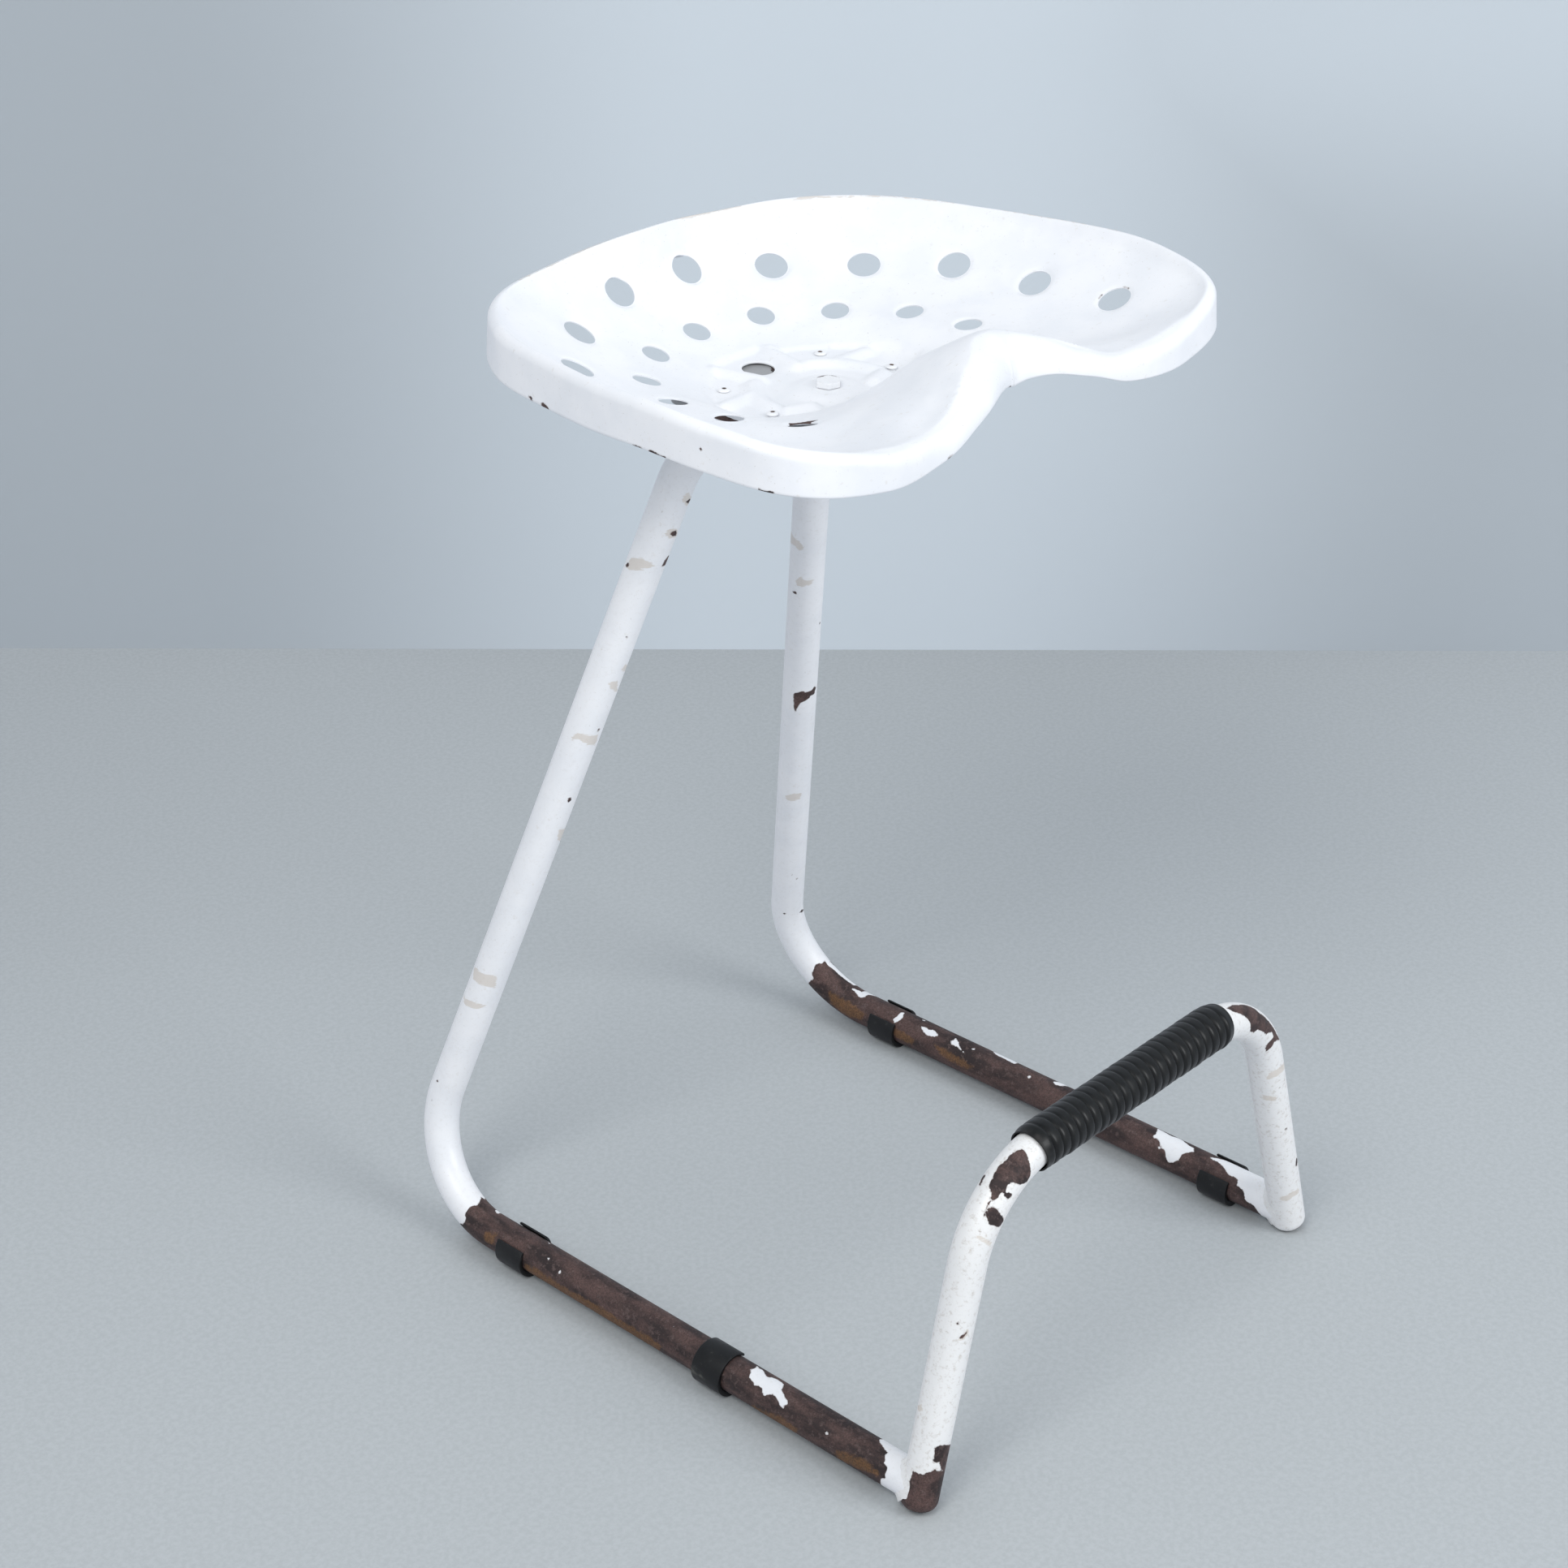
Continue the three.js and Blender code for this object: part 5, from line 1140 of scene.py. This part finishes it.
# Sizes of bolt, screws, washers and nuts, and the screws' places on the plate
fasten = {"screw": 2.5, "bolt": 5.0, "clear": 0.3, "gap": 0.3, "washer": 1.0, "washerMargin": 3.0, "nut": 4.0,
          "nutMargin": 2.3, "tail": 2.0, "screwHead": (4.0, 1.6), "boltHead": (8.6, 4.0), "boltTwist": 46.0,
          "screwBloom": 0.6, "screwSpot": 1.3, "boltEdge": 0.8, "boltPitch": 1.25, "screwPitch": 0.8}
screwPlaces = [("rear", side, side * 45.5, 47.5) for side in (-1, 1)]
screwPlaces += [("front", side, side * stand["armHalf"], -4.0) for side in (-1, 1)]


# Bare places on the plate, as strokes in space: on any of its faces, and on its top alone, where the patch under the
# big hole's right end is bare rust that also stands in as painted shade
plateWear = [(-72, 108, 618, -30, 108, 618, 0.6), (72, 20, 618, 72, 44, 618, 0.8), (-72, 8, 620, -60, 7, 618, 1.0),
             (-72, 46, 619.5, -72, 63, 619, 3.5)]
# Top patch: bare rust under the big hole's right end, also painted shade there
plateTopRustAndShade = [(8, 81, 621.2, 13, 87, 621.2, 5.5)]


# Points of the plan lifted to one height
def level(flat, z):
    return np.column_stack([flat, np.full(len(flat), z)])


# Mounting plate: a rectangle with round corners and holes for bolt and screws. Top and bottom are one net of
# triangles over its plan, and each edge is a wall between them, set out by the bevel along the edge's normal.
def makePlate():
    half, front, back, corner = plate["halfWidth"], plate["front"], plate["back"], plate["corner"]
    bevel, spacing = plate["bevel"], plate["spacing"]
    outline = []
    for cx, cy, begin in ((half, back, 0), (-half, back, 90), (-half, front, 180), (half, front, 270)):
        for t in np.radians(np.arange(begin, begin + 91, 10)):
            outline.append((cx - math.copysign(corner, cx) + corner * math.cos(t),
                            cy - (corner if cy == back else -corner) + corner * math.sin(t)))
    outline = np.concatenate([np.linspace(a, b, 1 + math.ceil(math.dist(a, b) / spacing), endpoint=False)
                              for a, b in zip(outline, outline[1:] + outline[:1])])
    loops = [outline]
    screws = [(x, back, fasten["screw"]) for _, _, x, back in screwPlaces]
    for x, y, radius in [(0.0, 0.0, fasten["bolt"])] + screws:
        swing = -circleSteps(32)
        size = radius + fasten["clear"]
        loops.append(np.stack([x + size * np.cos(swing), y + size * np.sin(swing)], axis=-1))
    normals = [unit(np.stack([(np.roll(edge, -1, 0) - np.roll(edge, 1, 0))[:, 1],
                              -(np.roll(edge, -1, 0) - np.roll(edge, 1, 0))[:, 0]], axis=-1)) for edge in loops]
    inset = [edge - normal * bevel for edge, normal in zip(loops, normals)]
    starts = np.cumsum([0] + [len(edge) for edge in inset])
    rounds = [start + np.arange(len(edge)) for start, edge in zip(starts, inset)]
    links = np.concatenate([np.stack([way, np.roll(way, -1)], axis=-1) for way in rounds])
    grid = np.stack(np.meshgrid(np.arange(3 - half, half - 2, spacing), np.arange(front + 3, back - 2, spacing)),
                    axis=-1).reshape(-1, 2)
    for edge in inset[1:]:
        middle = edge.mean(axis=0)
        grid = grid[np.hypot(*(grid - middle).T) > np.hypot(*(edge[0] - middle)) + 1.5]
    spots, triangles, _ = triangulate(np.concatenate(inset + [grid]), links, [tuple(range(len(outline)))], 1, 1e-6)
    centre = spots[triangles].mean(axis=1)
    keep = np.ones(len(triangles), bool)
    for edge in inset[1:]:
        middle = edge.mean(axis=0)
        keep &= np.hypot(*(centre - middle).T) > np.hypot(*(edge[0] - middle)) * 0.995
    triangles = triangles[keep]
    top, bottom = plate["top"], plate["top"] - plate["thick"]
    count = len(spots)
    points = [level(spots, top), level(spots, bottom)]
    faces = [triangles, triangles[:, ::-1] + count]
    first = 2 * count
    for edge, start in zip(loops, starts):
        size = len(edge)
        points += [level(edge, top - bevel), level(edge, bottom + bevel)]
        rows = np.array([start + np.arange(size), first + np.arange(size), first + size + np.arange(size),
                         count + start + np.arange(size)])
        turned = np.roll(rows, -1, axis=1)
        faces.append(np.stack([rows[:-1], rows[1:], turned[1:], turned[:-1]], axis=-1).reshape(-1, 4))
        first += 2 * size
    points = np.concatenate(points) + [0, seat["middle"], 0]
    topOnly = np.where(points[:, 2] > top - 1, 0.0, farAway)  # keeps it off the underside
    wear = np.minimum(strokeDistance(points, plateWear), strokeDistance(points, plateTopRustAndShade) + topOnly)
    makePiece("mountingPlate", points, faces, plateShadedPaint, ["mounting_plate"], paintValues(wear), 30)


makePlate()


# A turned part: rings (radius, height) round an upright axis. Where a ring is hexagonal its radius at angle a is
# r cos 30 / cos(a mod 60 - 30), eased toward round by its share.
def turned(x, y, rings, sides=48, twist=0.0):
    angle = circleSteps(sides)
    folded = (angle - math.radians(twist)) % (math.pi / 3) - math.pi / 6
    hexagon = math.cos(math.pi / 6) / np.cos(folded)
    points = []
    for radius, height, share in rings:
        size = radius * (1 - share + share * hexagon)
        points.append(np.stack([x + size * np.sin(angle), y + size * np.cos(angle), np.full(sides, height)], axis=-1))
    return np.concatenate(points), ringFaces(len(rings), sides)


# A turned part closed by a flat cap at each end
def closedTurned(x, y, rings, sides=48, twist=0.0):
    points, faces = turned(x, y, rings, sides, twist)
    caps = np.array([np.arange(sides)[::-1], (len(rings) - 1) * sides + np.arange(sides)])
    return points, [faces, caps]


# A turned ring: its last row joins its first
def ringTurned(x, y, rings, sides=48, twist=0.0):
    points, faces = turned(x, y, rings, sides, twist)
    first, last = np.arange(sides), (len(rings) - 1) * sides + np.arange(sides)
    close = np.stack([last, np.roll(last, -1), np.roll(first, -1), first], axis=-1)
    return points, [faces, close]


# Bolt with its washer and nut: the head sits on the pan, the thread is a row of small ridges below the nut
def makeFastener(name, x, back, radius, head, clampBottom, material, hexagon):
    y = seat["middle"] + back
    headRadius, headHeight = head
    swing = circleSteps(24)
    spots = np.stack([x + headRadius * np.sin(swing), back + headRadius * np.cos(swing)])
    seatTop = float(np.max(pressedHeight(spots[0], spots[1]))) + fasten["gap"]
    washerTop = clampBottom - fasten["gap"]
    nutTop = washerTop - fasten["washer"] - fasten["gap"]
    nutBottom = nutTop - fasten["nut"]
    tail = nutBottom - fasten["tail"]
    pitch = fasten["boltPitch"] if hexagon else fasten["screwPitch"]
    rings = [(radius * 0.25, tail, 0), (radius * 0.75, tail + 0.02, 0), (radius - 0.35, tail + 0.5, 0)]
    ridge = tail + 0.5
    while ridge < clampBottom + 4:
        rings += [(radius - 0.02, ridge + pitch * 0.4, 0), (radius - 0.02, ridge + pitch * 0.55, 0),
                  (radius - 0.02 - pitch * 0.4, ridge + pitch, 0)]
        ridge += pitch
    rings += [(radius, ridge + 0.8, 0), (radius, seatTop, 0)]
    if hexagon:
        rings += [(headRadius - 0.3, seatTop, 1), (headRadius, seatTop + 0.3, 1),
                  (headRadius, seatTop + headHeight - 0.9, 1), (headRadius - 0.25, seatTop + headHeight - 0.4, 0.9),
                  (headRadius * 0.9, seatTop + headHeight - 0.05, 0.35), (headRadius * 0.8, seatTop + headHeight, 0),
                  (headRadius * 0.3, seatTop + headHeight, 0)]
    else:
        rings += [(headRadius - 0.2, seatTop, 0), (headRadius, seatTop + 0.2, 0)]
        for t in np.radians(np.arange(10, 85, 12)):
            rings.append((headRadius * math.cos(t) ** 0.6, seatTop + 0.25 + (headHeight - 0.25) * math.sin(t), 0))
        rings += [(headRadius * 0.3, seatTop + headHeight, 0), (headRadius * 0.2, seatTop + headHeight - 0.35, 1),
                  (headRadius * 0.05, seatTop + headHeight - 0.4, 0)]
    points, faces = closedTurned(x, y, rings, 60 if hexagon else 36, fasten["boltTwist"] if hexagon else 0.0)
    headTop = seatTop + headHeight
    spots = [(x, y, headTop, x, y, headTop, fasten["screwSpot"])]
    if hexagon:
        corners = np.radians(fasten["boltTwist"] + np.array([-60.0, 0.0, 60.0]))
        left, far, right = [(x + headRadius * math.sin(t), y + headRadius * math.cos(t), headTop) for t in corners]
        spots = [(*left, *far, fasten["boltEdge"]), (*far, *right, fasten["boltEdge"])]
    values = paintValues(strokeDistance(points, spots), bloom=0.0 if hexagon else fasten["screwBloom"])
    makePiece(name, points, faces, material, [name], values, 28)
    clear, margin = radius + fasten["clear"], fasten["washerMargin"]
    low = washerTop - fasten["washer"]
    rings = [(clear, low + 0.1, 0), (clear, washerTop - 0.1, 0), (clear + 0.15, washerTop, 0),
             (radius + margin - 0.25, washerTop, 0), (radius + margin, washerTop - 0.3, 0),
             (radius + margin, low + 0.15, 0), (radius + margin - 0.15, low, 0), (clear + 0.15, low, 0)]
    points, faces = ringTurned(x, y, rings)
    makePiece(name + "_washer", points, faces, dullZinc, [name + "_washer"], None, 28)
    wide = radius + fasten["nutMargin"]
    rings = [(clear, nutBottom + 0.4, 0), (clear, nutTop - 0.4, 0), (clear + 0.35, nutTop, 0),
             (wide * 0.8, nutTop, 0), (wide * 0.9, nutTop - 0.08, 0.4), (wide, nutTop - 0.5, 1),
             (wide, nutBottom + 0.5, 1), (wide * 0.9, nutBottom + 0.08, 0.4), (wide * 0.8, nutBottom, 0),
             (clear + 0.35, nutBottom, 0)]
    points, faces = ringTurned(x, y, rings, 60, 17.0 * x)
    makePiece(name + "_nut", points, faces, dullZinc, [name + "_nut"], None, 28)


underPlate = plate["top"] - plate["thick"]
for end, side, x, back in screwPlaces:
    under = underPlate if end == "rear" else stand["armHeight"] - tube["radius"]
    name = end + ("_left" if side < 0 else "_right") + "_screw"
    makeFastener(name, x, back, fasten["screw"], fasten["screwHead"], under, rustyScrew, False)
makeFastener("centre_bolt", 0.0, 0.0, fasten["bolt"], fasten["boltHead"], underPlate, whitePaint, True)
print("plate and fasteners made")


# Camera solved from the photo: its place in metres, and the picture's right, down and depth directions in the frame
camera = {"sensor": 36.0, "lens": 71.573, "clip": (0.05, 50.0), "place": (-1.3870, -1.1959, 1.3265),
          "right": (0.6749, -0.7379, 0.0016), "down": (-0.3451, -0.3176, -0.8832), "ahead": (0.6522, 0.5955, -0.4690)}


# Turns an object to three directions (its x, its y and its -z) and puts it at a place
def aim(thing, right, up, ahead, place):
    thing.matrix_world = Matrix([[right[i], up[i], -ahead[i], place[i]] for i in range(3)] + [[0, 0, 0, 1]])
    scene.collection.objects.link(thing)


# The camera on its three directions
def makeCamera():
    data = bpy.data.cameras.new("photoView")
    data.sensor_width, data.lens = camera["sensor"], camera["lens"]
    data.clip_start, data.clip_end = camera["clip"]
    scene.camera = bpy.data.objects.new("photoView", data)
    aim(scene.camera, camera["right"], [-part for part in camera["down"]], camera["ahead"], camera["place"])


makeCamera()
scene.view_settings.view_transform = "Standard"


# Stage: a floor disc and a wall that faces the camera. Each has the tone that lights the stool and the tone that the
# camera sees, and the wall vanishes when seen from behind.
# The wall's dark share and its bright half and top shape the painted light and painted shade on the shown wall
stage = {"floorLit": (0.55, 0.57, 0.60), "floorShown": (0.47, 0.497, 0.507), "grain": 0.72, "grainShare": 0.3,
         "wallLit": (0.6, 0.63, 0.67), "wallShown": (0.605, 0.66, 0.70), "wallPaintedShade": 0.7,
         "heading": (0.7385, 0.6743), "wallMiddle": (0.667, 0.679), "floorRings": (0.05, 0.5, 1.2, 2.5, 6.0),
         "floorMiddle": 0.2, "floorSides": 96, "wallHalf": 6, "wallHeight": 5, "wallGrid": (25, 11),
         "paintedLightHalf": (0.1, 0.62), "paintedLightTop": (0.3, 0.62, 0.75)}


# A tone times a share
def dimmed(tone, share):
    return tuple(share * part for part in tone)


# The shown wall has painted light: it is painted bright in the middle and along the top left, with painted shade
# falling to a set share of its tone at the sides; the shown floor has a fine grain. Both have a faint broad cloud.
def stageMaterial(name, lit, shown, wall):
    material, tree, shader, coords = newMaterial(name, Roughness=0.9, Specular_IOR_Level=0.1)
    soft = remap(tree, noiseNode(tree, coords, 0.5, 3.0, 0.5, 21.0), 0.3, 0.7)
    litTone = mixColor(tree, soft, dimmed(lit, 0.97), lit)
    shownTone = mixColor(tree, soft, dimmed(shown, 0.985), shown)
    # Painted light: the wall's shown tone is painted bright in the middle and top left and painted darker at the
    # sides
    if wall:
        place = addNode(tree, "ShaderNodeSeparateXYZ", {"Vector": coords}).outputs
        across = mathNode(tree, "MULTIPLY", place[0], stage["heading"][1])
        across = mathNode(tree, "MULTIPLY_ADD", place[1], -stage["heading"][0], across)
        near, far = stage["paintedLightHalf"]
        low, high, most = stage["paintedLightTop"]
        middle = remap(tree, mathNode(tree, "ABSOLUTE", across), near, far, 1.0, 0.0)
        top = remap(tree, place[2], low, high, 0.0, most)
        top = mathNode(tree, "MULTIPLY", top, remap(tree, across, -far, near))
        bright = mathNode(tree, "MAXIMUM", middle, top)
        shownTone = mixColor(tree, bright, dimmed(shown, stage["wallPaintedShade"]), shownTone)
    else:
        grain = remap(tree, noiseNode(tree, coords, 0.004, 3.0, 0.7, 22.0), 0.35, 0.65, 0.0, stage["grainShare"])
        shownTone = mixColor(tree, grain, shownTone, dimmed(shown, stage["grain"]))
    direct = addNode(tree, "ShaderNodeLightPath").outputs["Is Camera Ray"]
    tree.links.new(mixColor(tree, direct, litTone, shownTone), shader.inputs["Base Color"])
    if wall:
        clear = addNode(tree, "ShaderNodeBsdfTransparent")
        behind = addNode(tree, "ShaderNodeNewGeometry").outputs["Backfacing"]
        mixed = addNode(tree, "ShaderNodeMixShader", {0: behind, 1: shader.outputs[0], 2: clear.outputs[0]})
        tree.links.new(mixed.outputs[0], tree.nodes["Material Output"].inputs["Surface"])
    return material


# A piece of the stage from points in metres
def addStage(name, points, faces, material):
    mesh = bpy.data.meshes.new(name)
    mesh.from_pydata(points.tolist(), [], faces)
    mesh.materials.append(material)
    piece = bpy.data.objects.new(name, mesh)
    scene.collection.objects.link(piece)


# Floor: rings r (cos a, sin a) closed by a disc in the middle. Wall: a grid along the line square to its heading.
def makeStage():
    count, radii, middle = stage["floorSides"], stage["floorRings"], stage["floorMiddle"]
    swing = circleSteps(count)
    circle = np.stack([np.cos(swing), np.sin(swing)], axis=-1)
    floor = np.concatenate([level(middle + radius * circle, 0.0) for radius in radii])
    faces = ringFaces(len(radii), count).tolist() + [list(range(count))[::-1]]
    addStage("floor", floor, faces, stageMaterial("floorTone", stage["floorLit"], stage["floorShown"], False))
    east, north = stage["heading"]
    wide, high = stage["wallGrid"]
    columns = np.linspace(-stage["wallHalf"], stage["wallHalf"], wide)
    rows = np.linspace(0, stage["wallHeight"], high)
    wall = np.array([*stage["wallMiddle"], 0.0]) + np.array([north, -east, 0.0]) * columns[None, :, None]
    wall = wall + np.array([0, 0, 1.0]) * rows[:, None, None]
    first = (np.arange(high - 1)[:, None] * wide + np.arange(wide - 1)).reshape(-1, 1)
    faces = (first + [0, 1, wide + 1, wide]).tolist()
    tone = stageMaterial("wallTone", stage["wallLit"], stage["wallShown"], True)
    addStage("wall", wall.reshape(-1, 3), faces, tone)


makeStage()


# Light: two large soft discs, upper left and front right, and a plain bright world
lamps = {
    "keyLight": {"place": (-2.2, -0.6, 2.9), "size": 1.6, "power": 42.0, "tone": (1.0, 0.99, 0.97)},
    "fillLight": {"place": (0.6, -2.8, 2.0), "size": 1.8, "power": 46.0, "tone": (0.97, 0.985, 1.0)},
}
lampTarget = (0, 0, 0.4)
sky = {"Color": (0.86, 0.90, 0.96, 1), "Strength": 0.76}


# A lamp that looks from its place to lampTarget, with its right square to that way and level
def makeLight(name, lamp):
    data = bpy.data.lights.new(name, "AREA")
    data.shape, data.size, data.energy, data.color = "DISK", lamp["size"], lamp["power"], lamp["tone"]
    ahead = unit(np.array(lampTarget, float) - np.array(lamp["place"], float))
    right = unit(np.cross(ahead, [0, 0, 1.0]))
    aim(bpy.data.objects.new(name, data), right, np.cross(right, ahead), ahead, lamp["place"])


for name, lamp in lamps.items():
    makeLight(name, lamp)
world = bpy.data.worlds.new("softSky")
world.use_nodes = True
feed(world.node_tree, world.node_tree.nodes["Background"], sky)
scene.world = world
print("stage made")
